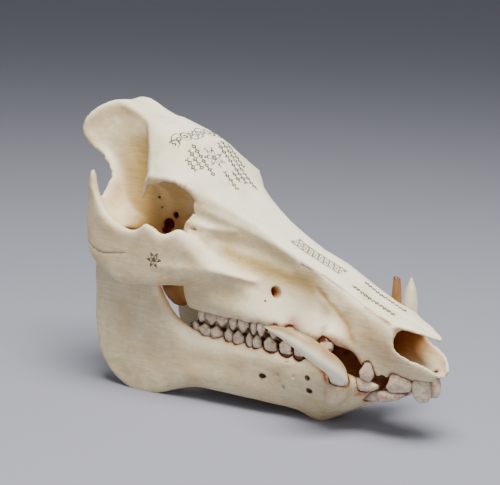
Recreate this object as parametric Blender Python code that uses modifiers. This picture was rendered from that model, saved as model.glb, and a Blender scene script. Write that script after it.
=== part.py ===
"""Wild boar skull with its lower jaw, standing on the jaw as it does on a shelf.

Units are metres, +X points to the snout, +Y to the animal's left and +Z up. The origin is on the
surface that the skull stands on, under the middle of its length. The forms below are written in
millimetres, with x measured forward from the back of the crest, and place() brings them here.
"""

import math

import bmesh
import bpy
import numpy as np
from mathutils import Vector

# Driving dimensions, in millimetres
MM = 0.001
CREST_TO_ORIGIN = 157.0
BITE_HEIGHT = 59.6
TOOTH_GAP = 0.7
SOCKET_GAP = 0.45
UPPER_SOCKET_ROOF = 70.0
LOWER_SOCKET_FLOOR = 47.0
TABLE_CUT = 60.0

# How finely the bones are fused, and how many triangles each keeps
FUSE_VOXEL = 1.9
SMOOTH_STEPS = 5
CRANIUM_TRIANGLES = 3300
MANDIBLE_TRIANGLES = 1500

BONE_COLOUR = (0.83, 0.78, 0.67)
TOOTH_COLOUR = (0.78, 0.70, 0.60)
TUSK_COLOUR = (0.86, 0.80, 0.66)
STAINED_TUSK_COLOUR = (0.55, 0.36, 0.20)

# Cranium vault, as half outlines from the top midline to the base midline: the hollow back, the rim
# of the nuchal crest with its wings, then sections through the temporal hollow and the forehead
VAULT = [
    [(24, 0, 201), (24, 5, 202), (21, 9, 202),
     (17, 13, 199), (17, 15, 193), (18, 16, 186), (24, 18, 177),
     (31, 21, 167), (36, 26, 156), (40, 29, 142), (42, 26, 124), (43, 18, 108), (44, 0, 104)],
    [(16, 0, 206.5), (16, 9, 208), (12, 15, 207.5), (4, 23, 202), (-1.5, 28, 195), (-1.2, 29.5, 187.5),
     (7, 28.5, 178), (20, 28, 170.5), (31, 32, 158),
     (36, 36, 146), (39, 34, 125), (41, 22, 103), (42, 0, 98)],
    [(14, 0, 208.5), (15.5, 11, 211), (13, 19, 210.5), (5, 27, 204), (0, 31.5, 196), (0.5, 33, 188),
     (8, 32, 178.5), (20, 31.5, 172), (31, 35, 160),
     (35, 40, 148), (38, 38, 125), (40, 24, 101), (41, 0, 95)],
    [(27, 0, 211.5), (28, 9, 212), (27, 16, 211), (20, 18.5, 203), (15, 22, 194), (16, 24.5, 186),
     (22, 25, 177), (31, 26.5, 167), (40, 29, 155),
     (44, 32, 141), (47, 33, 124), (49, 24, 101), (50, 0, 94)],
    [(40, 0, 209), (40, 9, 209.5), (40, 16, 208), (36, 17, 202), (34, 19, 194), (35, 21, 186),
     (38, 23.5, 176), (43, 26, 166), (49, 28.5, 154),
     (52, 31.5, 139), (54, 33, 122), (56, 23, 100), (57, 0, 94)],
    [(53, 0, 205), (53, 9, 205), (53, 17, 202.5), (52, 18.5, 197), (52, 20, 190), (52, 21, 183),
     (54, 23, 174), (57, 26, 163), (60, 28.5, 151),
     (62, 31, 137), (63, 32, 121), (64, 22, 100), (64, 0, 94)],
    [(63, 0, 200.5), (63, 12, 199.5), (62, 23, 193), (62, 27, 184.5), (63, 26, 178), (64, 25, 172),
     (65, 25, 166), (67, 26, 157), (69, 28, 147),
     (70, 30, 134), (71, 30, 119), (72, 21, 100), (72, 0, 95)],
    [(73, 0, 196.5), (73, 16, 194), (73, 31, 181), (73, 40, 170.5), (74, 38.5, 165), (75, 32, 161),
     (76, 27, 156), (77, 25, 149), (78, 26, 141),
     (78, 27, 130), (79, 27, 117), (79, 20, 101), (79, 0, 96)],
    [(84, 0, 192), (84, 19, 189.5), (84, 36, 178), (84, 48, 166.5), (84, 48, 161), (84, 38, 157.5),
     (84, 29, 153), (84, 25, 146), (85, 24, 139),
     (85, 24, 129), (85, 24, 117), (86, 19, 103), (86, 0, 97)],
    [(98, 0, 185.5), (98, 20, 184), (98, 36, 176), (98, 48.5, 167.5), (98, 48, 162), (98, 38, 157),
     (98, 29, 151), (98, 24, 143), (98, 22, 135),
     (98, 21, 127), (97, 20, 117), (96, 16, 105), (96, 0, 98)],
    [(112, 0, 175.5), (112, 18, 175), (112, 33, 170), (112, 44, 165), (112, 44, 160), (112, 36, 154),
     (112, 29, 147), (111, 24, 140), (110, 21, 133),
     (109, 20, 125), (108, 19, 117), (106, 15, 107), (106, 0, 100)],
    [(126, 0, 163), (126, 16, 162.5), (126, 28, 159), (126, 36, 154), (126, 36, 149), (125, 32, 143),
     (124, 28, 137), (122, 25, 131), (120, 22, 125),
     (119, 20, 120), (118, 18, 115), (116, 13, 108), (116, 0, 103)],
]
# Face and snout, on upright sections
FACE = [
    (113, [(0, 172), (20, 172), (40, 165), (42, 150),
           (45, 130), (46, 112), (44, 92), (38, 71), (18, 67), (0, 74)]),
    (126, [(0, 162), (18, 161), (34, 156), (37, 143),
           (42, 125), (46, 110), (44, 92), (38, 69), (18, 65), (0, 73)]),
    (140, [(0, 152), (15, 152), (28, 148), (31, 134),
           (36, 118), (44, 105), (42, 88), (38, 69), (18, 65), (0, 74)]),
    (158, [(0, 142), (12, 141), (22, 139), (24, 126),
           (28, 112), (36, 100), (37, 84), (38, 69), (18, 65), (0, 75)]),
    (176, [(0, 132), (10, 132), (19, 130), (20, 119),
           (22, 106), (26, 93), (34, 80), (37, 69), (19, 65), (0, 75)]),
    (194, [(0, 123), (10, 123), (18, 121), (19, 112),
           (20, 100), (23, 88), (30, 77), (34, 69), (20, 66), (0, 74)]),
    (210, [(0, 117), (10, 117), (18, 115), (19, 107),
           (20, 96), (22, 85), (27, 75), (30, 68), (20, 66), (0, 72)]),
    (225, [(0, 112), (10, 112), (18, 110), (20, 103),
           (21, 93), (24, 83), (31, 74), (34, 67), (20, 64), (0, 70)]),
    (240, [(0, 105), (10, 105), (18, 103), (20, 97),
           (22, 88), (25, 79), (32, 72), (33, 66), (18, 62), (0, 68)]),
    (255, [(0, 98), (10, 98), (18, 96), (21, 91), (22, 84),
           (24, 75), (26, 69), (25, 62), (15, 59), (0, 63)]),
    (270, [(0, 91), (10, 91), (18, 90), (21, 84), (22, 76),
           (22, 68), (21, 60), (19, 51), (12, 50), (0, 57)]),
    (284, [(0, 85), (10, 85), (18, 85), (21, 79),
           (22, 72), (21, 64), (19, 55), (15, 46), (9, 47), (0, 53)]),
    (294, [(0, 68), (10, 69), (19, 70), (22, 68),
           (21, 62), (19, 56), (16, 50), (12, 44), (6, 46), (0, 51)]),
    (304, [(0, 62), (9, 63), (17, 64), (20, 63), (19, 57),
           (16, 52), (13, 47), (10, 44), (5, 46), (0, 50)]),
    (312, [(0, 56), (6, 57), (12, 58), (15, 57),
           (14, 53), (12, 50), (9, 47), (7, 46), (3, 47), (0, 49)]),
    (317, [(0, 52), (3, 53), (7, 54), (8, 53), (8, 51), (6, 50), (5, 49), (4, 48), (2, 48), (0, 49)]),
]
# Free front of the nasal bones: (x, half width, top at the midline, edge height, thickness)
NASALS = [
    (262, 18, 95.5, 93, 6),
    (275, 18, 90.5, 88.5, 5),
    (284, 18, 87, 85, 4.5),
    (292, 15, 84.5, 83.5, 4),
    (300, 11.5, 82, 81.5, 3.6),
    (308, 7, 79.2, 79, 3.4),
    (314.5, 2.4, 76.6, 76.6, 3),
]
# Hollow of the nose: (x, half width, floor, roof)
NOSE_HOLLOW = [
    (196, 5, 90, 100),
    (215, 11, 82, 104),
    (240, 15, 74, 98),
    (262, 17, 64, 89.5),
    (276, 18, 59, 83.5),
    (286, 18.5, 56.5, 80),
    (294, 18.5, 55, 79),
    (304, 16.5, 54.5, 77),
    (312, 12, 53.6, 74),
    (326, 8, 53.2, 71),
]
# Zygomatic arch: (x, outer y, thickness, bottom, top), with the spike at its back
ARCH = [
    (31.5, 60.5, 4.5, 113, 146),
    (33.8, 61.5, 5, 107, 163),
    (37.2, 62.5, 6, 101, 166),
    (41, 63.2, 7, 97, 151),
    (49, 64, 8, 92, 139),
    (57, 64.5, 8, 89, 132.5),
    (65, 64.5, 8, 85.5, 129),
    (72, 64.5, 8, 84, 127),
    (79, 64, 8, 84.5, 127),
    (85, 63.8, 7.5, 85.5, 129),
    (91, 63.5, 7, 87, 133),
    (97, 62.5, 7.5, 89.5, 131),
    (104, 61.5, 8, 92, 127),
    (110, 60, 9, 93.5, 128),
    (117, 57.5, 11, 95.5, 132),
    (125, 54, 13, 96, 127),
    (133, 50.5, 14, 96, 119),
    (142, 47, 14, 96, 112),
    (152, 43, 13, 96, 107),
    (162, 38.5, 12, 96, 103.5),
    (172, 33, 10, 95, 100),
]
# Root of the arch behind the jaw joint: (y, back x, crest height, front x, front height, underside)
ARCH_ROOT = [
    (22, 33, 156, 70, 130, 112),
    (36, 31.5, 157, 66, 128, 116),
    (44, 33, 149.5, 63, 127, 119.5),
    (50, 34, 145.5, 61, 127, 121),
    (56, 34.5, 149, 59, 126, 120),
    (62, 34.5, 154, 57, 124, 116),
]
# Lower jaw branch: (x, bottom, top, outer y at the bottom, outer y at the top, thickness)
BRANCH = [
    (31.5, 52, 90, 50, 51, 4),
    (33.5, 38, 102, 50.5, 51.5, 6),
    (37, 27, 111, 50.5, 52, 7),
    (42, 18, 114.5, 50.5, 52.5, 8),
    (50, 9.5, 115, 50, 52.5, 8),
    (58, 4.5, 110.5, 49.5, 52, 8),
    (66, 1.2, 113, 49, 51.5, 7.5),
    (73, -0.8, 122, 48.5, 51, 7),
    (80, -1.6, 119, 48, 50.5, 7),
    (88, -1.2, 93, 47, 49.5, 8),
    (96, 0.8, 77.5, 46, 47.5, 9.5),
    (104, 3.6, 67.5, 45, 45.5, 12),
    (112, 6, 60, 44, 42.5, 15),
    (120, 7.8, 54.5, 43, 40, 18),
    (131, 8.6, 52.5, 41, 38, 19),
    (148, 8.5, 53.5, 38, 37, 18.5),
    (164, 7.5, 53, 35, 36, 18),
    (180, 7.2, 52.5, 31.5, 34.5, 17),
    (194, 6, 51, 27, 32.5, 16),
    (206, 4, 50, 22, 30, 15),
]
# Fused front of the two branches, on upright sections
CHIN = [
    (198, [(0, 22), (8, 25), (15, 40), (25, 50), (31, 36), (25, 15), (12, 5), (0, 10)]),
    (209, [(0, 28), (8, 30), (16, 42), (25, 49), (30, 34), (23, 12), (11, 1), (0, 3)]),
    (220, [(0, 32), (8, 33), (16, 42), (25, 48), (29, 34), (22, 11), (11, -1.6), (0, -1.8)]),
    (230, [(0, 34), (8, 35), (16, 42), (26, 47), (30, 35), (22, 14), (10, 2.6), (0, 2.4)]),
    (242, [(0, 36), (8, 36), (16, 41), (28, 46), (33, 37), (23, 20), (11, 10), (0, 9.5)]),
    (252, [(0, 37), (8, 37), (15, 41), (27, 44), (32, 37), (22, 23), (11, 16), (0, 15)]),
    (260, [(0, 37), (7, 37), (13, 39), (20, 41), (23, 36), (18, 26), (10, 20), (0, 19)]),
    (268, [(0, 35), (6, 36), (11, 37), (16, 37), (18, 33), (15, 27), (9, 23), (0, 23)]),
    (274, [(0, 33), (5, 33), (9, 34), (12, 33), (13, 31), (12, 28), (7, 26), (0, 26)]),
]

# Cheek teeth: (name, back x, front x, middle y, width, lobes)
UPPER_CHEEK = [
    ("molar_3", 119.5, 150.0, 28.2, 16.5, 3),
    ("molar_2", 150.7, 170.0, 28.6, 16.0, 2),
    ("molar_1", 170.7, 185.2, 28.6, 14.5, 2),
    ("premolar_4", 185.9, 197.4, 27.4, 12.0, 1),
    ("premolar_3", 198.1, 209.4, 26.0, 9.0, 1),
    ("premolar_2", 210.1, 220.4, 25.0, 6.6, 1),
    ("premolar_1", 221.1, 228.0, 25.6, 5.0, 1),
]
LOWER_CHEEK = [
    ("molar_3", 110.5, 144.0, 27.2, 13.5, 3),
    ("molar_2", 144.7, 164.0, 27.2, 13.0, 2),
    ("molar_1", 164.7, 180.0, 27.0, 11.4, 2),
    ("premolar_4", 180.7, 193.0, 26.2, 9.6, 1),
    ("premolar_3", 193.7, 205.2, 25.2, 7.6, 1),
    ("premolar_2", 205.9, 215.4, 24.2, 5.6, 1),
]
# Front teeth: a path from the root to the tip of (x, y, z, half breadth, half thickness), then the
# direction (x, y, z) in which the breadth lies
FRONT_TEETH = {
    "upper_incisor_1": (
        [(302, 7.5, 54, 3, 2.5), (304, 8, 47, 5, 3.5),
         (305, 8, 40, 7.5, 4), (306, 7, 34, 6, 3), (306, 6, 30, 3, 1.6)],
        (1, -0.5, 0),
    ),
    "upper_incisor_2": (
        [(286, 13, 52, 3, 2.4), (288, 13.5, 46, 6, 3.4),
         (290, 14, 41.5, 10, 3.6), (291, 13.4, 36.5, 8, 2.2)],
        (1, -0.15, 0),
    ),
    "upper_incisor_3": (
        [(267, 18, 56, 2.4, 2), (267, 19, 50.5, 4, 3),
         (266.5, 19.5, 46, 5.6, 3.6), (265.5, 19.5, 41.4, 4, 2.2)],
        (1, -0.15, 0),
    ),
    "lower_incisor_1": (
        [(256, 4.6, 27, 2.5, 2.8), (266, 4.6, 29.4, 3, 3.4),
         (278, 5, 31, 3.6, 3.6), (290, 5, 34, 4, 2.8),
         (299, 4.6, 37.2, 3.4, 1)],
        (0, 1, 0),
    ),
    "lower_incisor_2": (
        [(252, 11.5, 26, 2.6, 3), (263, 12, 28, 3.4, 3.8),
         (276, 13.4, 30, 4, 4), (287, 12.8, 32.4, 4, 3),
         (295, 11, 35, 3, 1)],
        (0, 1, 0),
    ),
    "lower_incisor_3": (
        [(247, 17, 36.5, 2.2, 2.4), (256, 18, 37, 2.8, 3.6),
         (263, 18.6, 37, 3, 4.6), (270, 18.2, 37, 2.6, 3.4),
         (275.5, 17, 37.6, 1.6, 1.2)],
        (0, 1, 0),
    ),
}
# Tusks and canines, each along a path of (x, y, z, radius)
LOWER_TUSK_RIGHT = [
    (243, 26.5, 29, 5), (250, 29, 37, 6.2), (251.4, 33, 45, 6.5),
    (249, 38.5, 52, 6.8), (244, 43.5, 57.5, 6.9),
    (237.5, 47.5, 63, 6.8), (230.5, 50.5, 67.6, 6.2),
    (222.5, 52.5, 70.8, 5), (213, 54, 73, 3.2), (201.5, 55, 74.4, 1),
]
LOWER_TUSK_LEFT = [
    (243, 26.5, 29, 5), (250, 29.5, 38, 6.2),
    (253, 36, 48, 6.5), (254, 43, 57, 6.6), (253, 49.5, 66, 6.4),
    (251.5, 54, 74.5, 6), (250.3, 57, 83, 5.2), (249, 59, 91, 3.8), (248.3, 60, 99.5, 1.2),
]
UPPER_CANINE_LEFT = [
    (235.5, 26, 72, 5), (236.5, 31, 66.5, 5.2),
    (238, 38.5, 64, 4.8), (239.8, 45.5, 67, 4.3), (240.4, 50, 74, 4),
    (240.6, 52.5, 83, 3.7), (240, 53.5, 92, 3.4), (239.2, 54, 100, 2.6),
]
UPPER_CANINE_STUMP = [(235.5, 25, 72, 5), (237, 28, 68, 5.2), (239, 31, 64, 5), (240, 32.5, 60.5, 4.2)]

SIDES = (("left", 1), ("right", -1))


def place(x, y, z):
    """The point in the scene, in metres, of millimetres measured from the back of the crest."""
    return Vector(((x - CREST_TO_ORIGIN) * MM, y * MM, z * MM))


def catmull(rows, steps, closed=False):
    """Rows of numbers joined by a smooth curve through them, with this many steps between two rows."""
    rows = np.asarray(rows, float)
    if closed:
        rows = np.concatenate([rows[-1:], rows, rows[:2]])
    else:
        rows = np.concatenate([2 * rows[:1] - rows[1:2], rows, 2 * rows[-1:] - rows[-2:-1]])
    made = []
    for a, b, c, d in zip(rows, rows[1:], rows[2:], rows[3:]):
        for step in range(steps):
            t = step / steps
            square = (2 * a - 5 * b + 4 * c - d) * t**2
            cube = (3 * b - a - 3 * c + d) * t**3
            made.append(0.5 * (2 * b + (c - a) * t + square + cube))
    if not closed:
        made.append(rows[-2])
    return np.array(made)


def mirrored_ring(x, half):
    """A closed upright outline from its half."""
    return [(x, y, z) for y, z in half] + [(x, -y, z) for y, z in half[-2:0:-1]]


def blade_ring(x, outer, thickness, bottom, top, outer_top=None):
    """The outline of an upright blade with rounded edges, leaning from outer to outer_top."""
    outer_top = outer if outer_top is None else outer_top
    edge = min(0.5 * thickness, 0.4 * (top - bottom))
    half = 0.5 * thickness
    middle = outer - half, outer_top - half
    return [
        (x, middle[1], top),
        (x, middle[1] + half, top - edge),
        (x, 0.5 * (middle[0] + middle[1]) + half, 0.5 * (top + bottom)),
        (x, middle[0] + half, bottom + edge),
        (x, middle[0], bottom),
        (x, middle[0] - half, bottom + edge),
        (x, 0.5 * (middle[0] + middle[1]) - half, 0.5 * (top + bottom)),
        (x, middle[1] - half, top - edge),
    ]


def oval_ring(x, half_width, floor, roof, count=12):
    """An upright oval outline across the skull."""
    middle, half = 0.5 * (floor + roof), 0.5 * (roof - floor)
    turns = [2 * math.pi * i / count for i in range(count)]
    return [(x, half_width * math.sin(t), middle + half * math.cos(t)) for t in turns]


def tube_rings(path, count=10):
    """Round outlines square to a path of (x, y, z, radius) or of (x, y, z, radius, flattening)."""
    path = np.asarray(path, float)
    along = np.gradient(path[:, :3], axis=0)
    rings = []
    for point, direction in zip(path, along):
        ahead = Vector(direction).normalized()
        side = ahead.cross(Vector((0, 0, 1)))
        side = side.normalized() if side.length > 0.1 else ahead.cross(Vector((1, 0, 0))).normalized()
        upward = side.cross(ahead)
        flat = float(point[4]) if len(point) > 4 else 1.0
        ring = []
        radius = float(point[3])
        for i in range(count):
            t = 2 * math.pi * i / count
            around = side * math.cos(t) + upward * (flat * math.sin(t))
            ring.append(Vector(point[:3]) + radius * around)
        rings.append([tuple(p) for p in ring])
    return rings


def loft(rings, side=1, along=3, around=2):
    """A closed bmesh skinned through smooth outlines; side -1 mirrors it to the animal's right."""
    table = catmull(rings, along) if along > 1 else np.asarray(rings, float)
    if around > 1:
        table = np.array([catmull(ring, around, closed=True) for ring in table])
    made = bmesh.new()
    loops = [[made.verts.new(place(x, side * y, z)) for x, y, z in ring] for ring in table]
    for back, front in zip(loops, loops[1:]):
        for i, corner in enumerate(back):
            j = (i + 1) % len(back)
            made.faces.new((corner, back[j], front[j], front[i]))
    made.faces.new(loops[0])
    made.faces.new(loops[-1])
    bmesh.ops.triangulate(made, faces=made.faces[:], quad_method="FIXED")
    bmesh.ops.recalc_face_normals(made, faces=made.faces)
    return made


def ball(centre, radii, side=1):
    """An ellipsoid about a point, with its radii along x, y and z."""
    made = bmesh.new()
    bmesh.ops.create_uvsphere(made, u_segments=20, v_segments=12, radius=1.0)
    bmesh.ops.scale(made, vec=Vector(radii) * MM, verts=made.verts)
    x, y, z = centre
    bmesh.ops.translate(made, vec=place(x, side * y, z), verts=made.verts)
    return made


def as_object(name, forms, collection):
    """One object that holds these bmeshes as separate closed shells."""
    mesh = bpy.data.meshes.new(name)
    whole = bmesh.new()
    for form in forms:
        part = bpy.data.meshes.new("form")
        form.to_mesh(part)
        form.free()
        whole.from_mesh(part)
        bpy.data.meshes.remove(part)
    whole.to_mesh(mesh)
    whole.free()
    made = bpy.data.objects.new(name, mesh)
    collection.objects.link(made)
    return made


def helper(name, forms, cutters):
    """A cutter or a guide, which isn't part of the skull."""
    made = as_object(name, forms, cutters)
    made.hide_render = True
    made.display_type = "WIRE"
    return made


def cut(target, cutter):
    """Takes the cutter's space out of the target with a live modifier."""
    modifier = target.modifiers.new("cut_" + cutter.name, "BOOLEAN")
    modifier.operation = "DIFFERENCE"
    modifier.object = cutter
    modifier.solver = "EXACT"


def settled(source, name, collection):
    """The object as its modifiers leave it, as a plain mesh object."""
    bpy.context.view_layer.update()
    graph = bpy.context.evaluated_depsgraph_get()
    mesh = bpy.data.meshes.new_from_object(source.evaluated_get(graph))
    made = bpy.data.objects.new(name, mesh)
    collection.objects.link(made)
    bpy.data.objects.remove(source)
    return made


def grown(name, shells, collection, steps=0):
    """Overlapping shells grown into one body on a fine voxel grid, then softened."""
    body = as_object(name, shells, collection)
    remesh = body.modifiers.new("grow_together", "REMESH")
    remesh.mode = "VOXEL"
    remesh.voxel_size = FUSE_VOXEL * MM
    if steps:
        smooth = body.modifiers.new("soften", "SMOOTH")
        smooth.factor = 0.5
        smooth.iterations = steps
    return settled(body, name, collection)


def carved(body, cutters, collection):
    """The body with each cutter taken out of it."""
    for cutter in cutters:
        cut(body, cutter)
    return settled(body, body.name, collection)


def as_form(body):
    """The bmesh of a scratch object, which is then removed."""
    made = bmesh.new()
    made.from_mesh(body.data)
    bpy.data.objects.remove(body)
    return made


def thinned(body, name, triangles, collection):
    """The body with its surface thinned to a number of triangles."""
    thin = body.modifiers.new("thin", "DECIMATE")
    thin.ratio = triangles / (2 * len(body.data.polygons))
    return settled(body, name, collection)


def vault_form():
    """Braincase, forehead and the nuchal crest with its wings."""
    return loft([half + [(x, -y, z) for x, y, z in half[-2:0:-1]] for half in VAULT])


def face_form():
    """Face, palate and snout as one block, before its hollows are cut."""
    return loft([mirrored_ring(x, half) for x, half in FACE])


def nasal_form():
    """Nasal bones, whose front ends stand free over the opening of the nose."""
    rings = []
    for x, half_width, top, edge, thickness in NASALS:
        inner = 0.6 * half_width
        upper = [(0, top), (inner, top - 0.25 * (top - edge)), (half_width, edge - 0.4 * thickness)]
        half = upper + [(inner, edge - 0.9 * thickness), (0, top - thickness)]
        rings.append(mirrored_ring(x, half))
    return loft(rings)


def arch_form(side):
    """Zygomatic arch with the facial crest at its front and the spike at its back."""
    rings = [blade_ring(x, outer, thick, bottom, top) for x, outer, thick, bottom, top in ARCH]
    return loft(rings, side, along=2)


def arch_root_form(side):
    """Root that carries the arch from the braincase, over the jaw joint."""
    rings = []
    for y, back, crest, front, front_top, under in ARCH_ROOT:
        span = front - back
        rings.append(
            [
                (back, y, under + 4),
                (back - 0.5, y, 0.5 * (under + crest)),
                (back + 1, y, crest),
                (back + 0.18 * span, y, crest - 3.5),
                (back + 0.45 * span, y, front_top + 0.35 * (crest - front_top)),
                (front, y, front_top),
                (front, y, under + 2),
                (back + 0.5 * span, y, under),
            ]
        )
    return loft(rings, side)


def occiput_forms(side):
    """Condyle, paroccipital process and ear capsule at the back of the base."""
    process = [
        (47, 28, 114, 7.5, 0.8),
        (44, 28.5, 104, 6, 0.8),
        (41, 28.5, 90, 5, 0.7),
        (38, 28.5, 76, 3.6, 0.7),
        (36, 28.5, 67, 2, 0.7),
    ]
    return [
        ball((33, 13, 97), (10, 8.5, 12), side),
        ball((63, 20, 93), (14, 7.5, 12), side),
        loft(tube_rings(process), side, around=1),
    ]


def pterygoid_form(side):
    """Plate beside the back opening of the nose, ending in its hook."""
    plate = [(112, 21, 9, 70, 104), (104, 19.5, 6, 68, 104), (97, 18, 5, 66, 104), (91, 17, 4, 72, 102)]
    plate.append((86, 16.5, 3, 86, 100))
    return loft([blade_ring(*row) for row in plate], side)


def build_cranium(parts, cutters):
    """The cranium as one grown bone with its hollows."""
    orbits = [ball((98, 43, 147), (17.5, 19, 18.5), side) for _, side in SIDES]
    cheeks = [ball((97, 41, 98), (18, 15, 27), side) for _, side in SIDES]
    throat = loft([oval_ring(*row) for row in [(80, 12, 75, 98), (112, 12, 76, 99), (150, 8, 80, 94)]])
    brain = loft([oval_ring(*row) for row in [(20, 9, 98, 113), (38, 11, 99, 116), (48, 19, 103, 145)]])
    hollows = [
        helper("nose_hollow", [loft([oval_ring(*row) for row in NOSE_HOLLOW])], cutters),
        helper("orbit_hollows", orbits, cutters),
        helper("cheek_hollows", cheeks, cutters),
        helper("back_nose_hollow", [throat], cutters),
        helper("foramen_magnum", [brain], cutters),
    ]
    block = grown("block", [vault_form(), face_form(), nasal_form()], parts)
    shells = [as_form(carved(block, hollows, parts))]
    for _, side in SIDES:
        shells.append(arch_form(side))
        shells.append(arch_root_form(side))
        shells.extend(occiput_forms(side))
        shells.append(pterygoid_form(side))
    bone = grown("cranium_fine", shells, parts, SMOOTH_STEPS)
    return thinned(bone, "cranium", CRANIUM_TRIANGLES, parts)


def branch_form(side):
    """One branch of the lower jaw, from the joint to the premolars."""
    rings = []
    for x, bottom, top, outer_bottom, outer_top, thickness in BRANCH:
        rings.append(blade_ring(x, outer_bottom, thickness, bottom, top, outer_top))
    return loft(rings, side, along=2)


def joint_form(side):
    """Condyle of the lower jaw, a bar across the top of its branch."""
    bar = [(47.5, 40.5, 110.5, 3.4), (46.5, 44, 111.6, 4.6), (46, 49, 112, 5), (46.5, 53, 111, 3.8)]
    return loft(tube_rings(bar), side, around=1)


def build_mandible(parts):
    """The lower jaw as one grown bone."""
    shells = [loft([mirrored_ring(x, half) for x, half in CHIN])]
    for _, side in SIDES:
        shells.append(branch_form(side))
        shells.append(joint_form(side))
    bone = grown("mandible_fine", shells, parts, SMOOTH_STEPS)
    return thinned(bone, "mandible", MANDIBLE_TRIANGLES, parts)


def lobed_tooth(back, front, middle, width, lobes, root, bite):
    """A cheek tooth with rounded lobes and two rows of cusps, from its root to its biting edge."""
    up = 1 if bite > root else -1
    half = 0.5 * width
    rings = []
    stations = 2 * lobes
    for i in range(stations + 1):
        x = back + (front - back) * i / stations
        swell = 0.0 if i % 2 else 1.0
        y = half * (1 - 0.13 * swell)
        cusp = bite - up * 2.2 * swell
        valley = bite - up * (2.6 + 0.8 * swell)
        rings.append(
            [
                (x, middle - y, root),
                (x, middle - y, bite - up * 4.6),
                (x, middle - 0.68 * y, cusp),
                (x, middle, valley),
                (x, middle + 0.68 * y, cusp),
                (x, middle + y, bite - up * 4.6),
                (x, middle + y, root),
            ]
        )
    return rings


def box_rings(back, front, middle, width, low, high):
    """Two square outlines that close a box along x."""
    inner = middle - 0.5 * width
    outer = middle + 0.5 * width
    return [[(x, inner, low), (x, inner, high), (x, outer, high), (x, outer, low)] for x in (back, front)]


def trench_rings(rows, floor, mouth):
    """Square outlines of the trench that holds a row of cheek teeth, stepped at each tooth."""
    rings = []
    for (_, back, front, middle, width, _), behind in zip(rows, [None] + rows):
        start = back - SOCKET_GAP if behind is None else 0.5 * (behind[2] + back) + 0.1
        end = front + 0.5 * TOOTH_GAP - 0.1
        rings.extend(box_rings(start, end, middle, width + 2 * SOCKET_GAP, floor, mouth))
    last = rings[-1]
    rings[-1] = [(x + SOCKET_GAP - 0.5 * TOOTH_GAP + 0.1, y, z) for x, y, z in last]
    return rings


def blade_tooth_rings(path, broad, grow=0.0, count=6):
    """Flattened outlines square to the path of a front tooth, whose breadth lies along broad."""
    table = np.asarray(path, float)
    along = np.gradient(table[:, :3], axis=0)
    rings = []
    for row, direction in zip(table, along):
        ahead = Vector(direction).normalized()
        thin = ahead.cross(Vector(broad)).normalized()
        wide = thin.cross(ahead)
        ring = []
        for i in range(count):
            t = 2 * math.pi * (i + 0.5) / count
            across = wide * (float(row[3]) + grow) * math.cos(t)
            ring.append(tuple(Vector(row[:3]) + across + thin * (float(row[4]) + grow) * math.sin(t)))
        rings.append(ring)
    return rings


def lengthened(rings, amount):
    """The outlines with the first one moved back along the path."""
    first = sum((Vector(p) for p in rings[0]), Vector()) / len(rings[0])
    second = sum((Vector(p) for p in rings[1]), Vector()) / len(rings[1])
    shift = (first - second).normalized() * amount
    return [[tuple(Vector(p) + shift) for p in rings[0]]] + list(rings[1:])


def finish(body, colour, roughness):
    """Gives a body its own plain material."""
    material = bpy.data.materials.new(body.name)
    material.use_nodes = True
    shader = material.node_tree.nodes["Principled BSDF"]
    shader.inputs["Base Color"].default_value = (*colour, 1.0)
    shader.inputs["Roughness"].default_value = roughness
    body.data.materials.clear()
    body.data.materials.append(material)


def build_cheek_teeth(parts, side_name, side, jaw, trenches):
    """One row of cheek teeth, and the trench that the bone needs for it."""
    rows = UPPER_CHEEK if jaw == "upper" else LOWER_CHEEK
    sign = 1 if jaw == "upper" else -1
    root = UPPER_SOCKET_ROOF if jaw == "upper" else LOWER_SOCKET_FLOOR
    bite = BITE_HEIGHT + sign * 0.5 * TOOTH_GAP
    for name, back, front, middle, width, lobes in rows:
        rings = lobed_tooth(back, front, middle, width, lobes, root, bite)
        tooth = as_object(f"{jaw}_{name}_{side_name}", [loft(rings, side, 1, 1)], parts)
        finish(tooth, TOOTH_COLOUR, 0.35)
    trenches.append(loft(trench_rings(rows, root + sign * SOCKET_GAP, bite - sign), side, 1, 1))


def build_front_teeth(parts, side_name, side, jaw, sockets):
    """The three incisors of one side, and their sockets."""
    for name, (path, broad) in FRONT_TEETH.items():
        if name.startswith(jaw):
            form = loft(blade_tooth_rings(path, broad), side, 1, 1)
            tooth = as_object(f"{name}_{side_name}", [form], parts)
            finish(tooth, TOOTH_COLOUR, 0.35)
            room = lengthened(blade_tooth_rings(path, broad, SOCKET_GAP), SOCKET_GAP)
            sockets.append(loft(room, side, 1, 1))


def build_tusk(parts, name, path, side, colour, sockets):
    """A tusk or canine along its curve, and its socket."""
    tooth = as_object(name, [loft(tube_rings(path, 8), side, 1, 1)], parts)
    finish(tooth, colour, 0.3)
    wider = [(x, y, z, radius + SOCKET_GAP) for x, y, z, radius in path]
    sockets.append(loft(lengthened(tube_rings(wider, 8), SOCKET_GAP), side, 1, 1))


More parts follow.
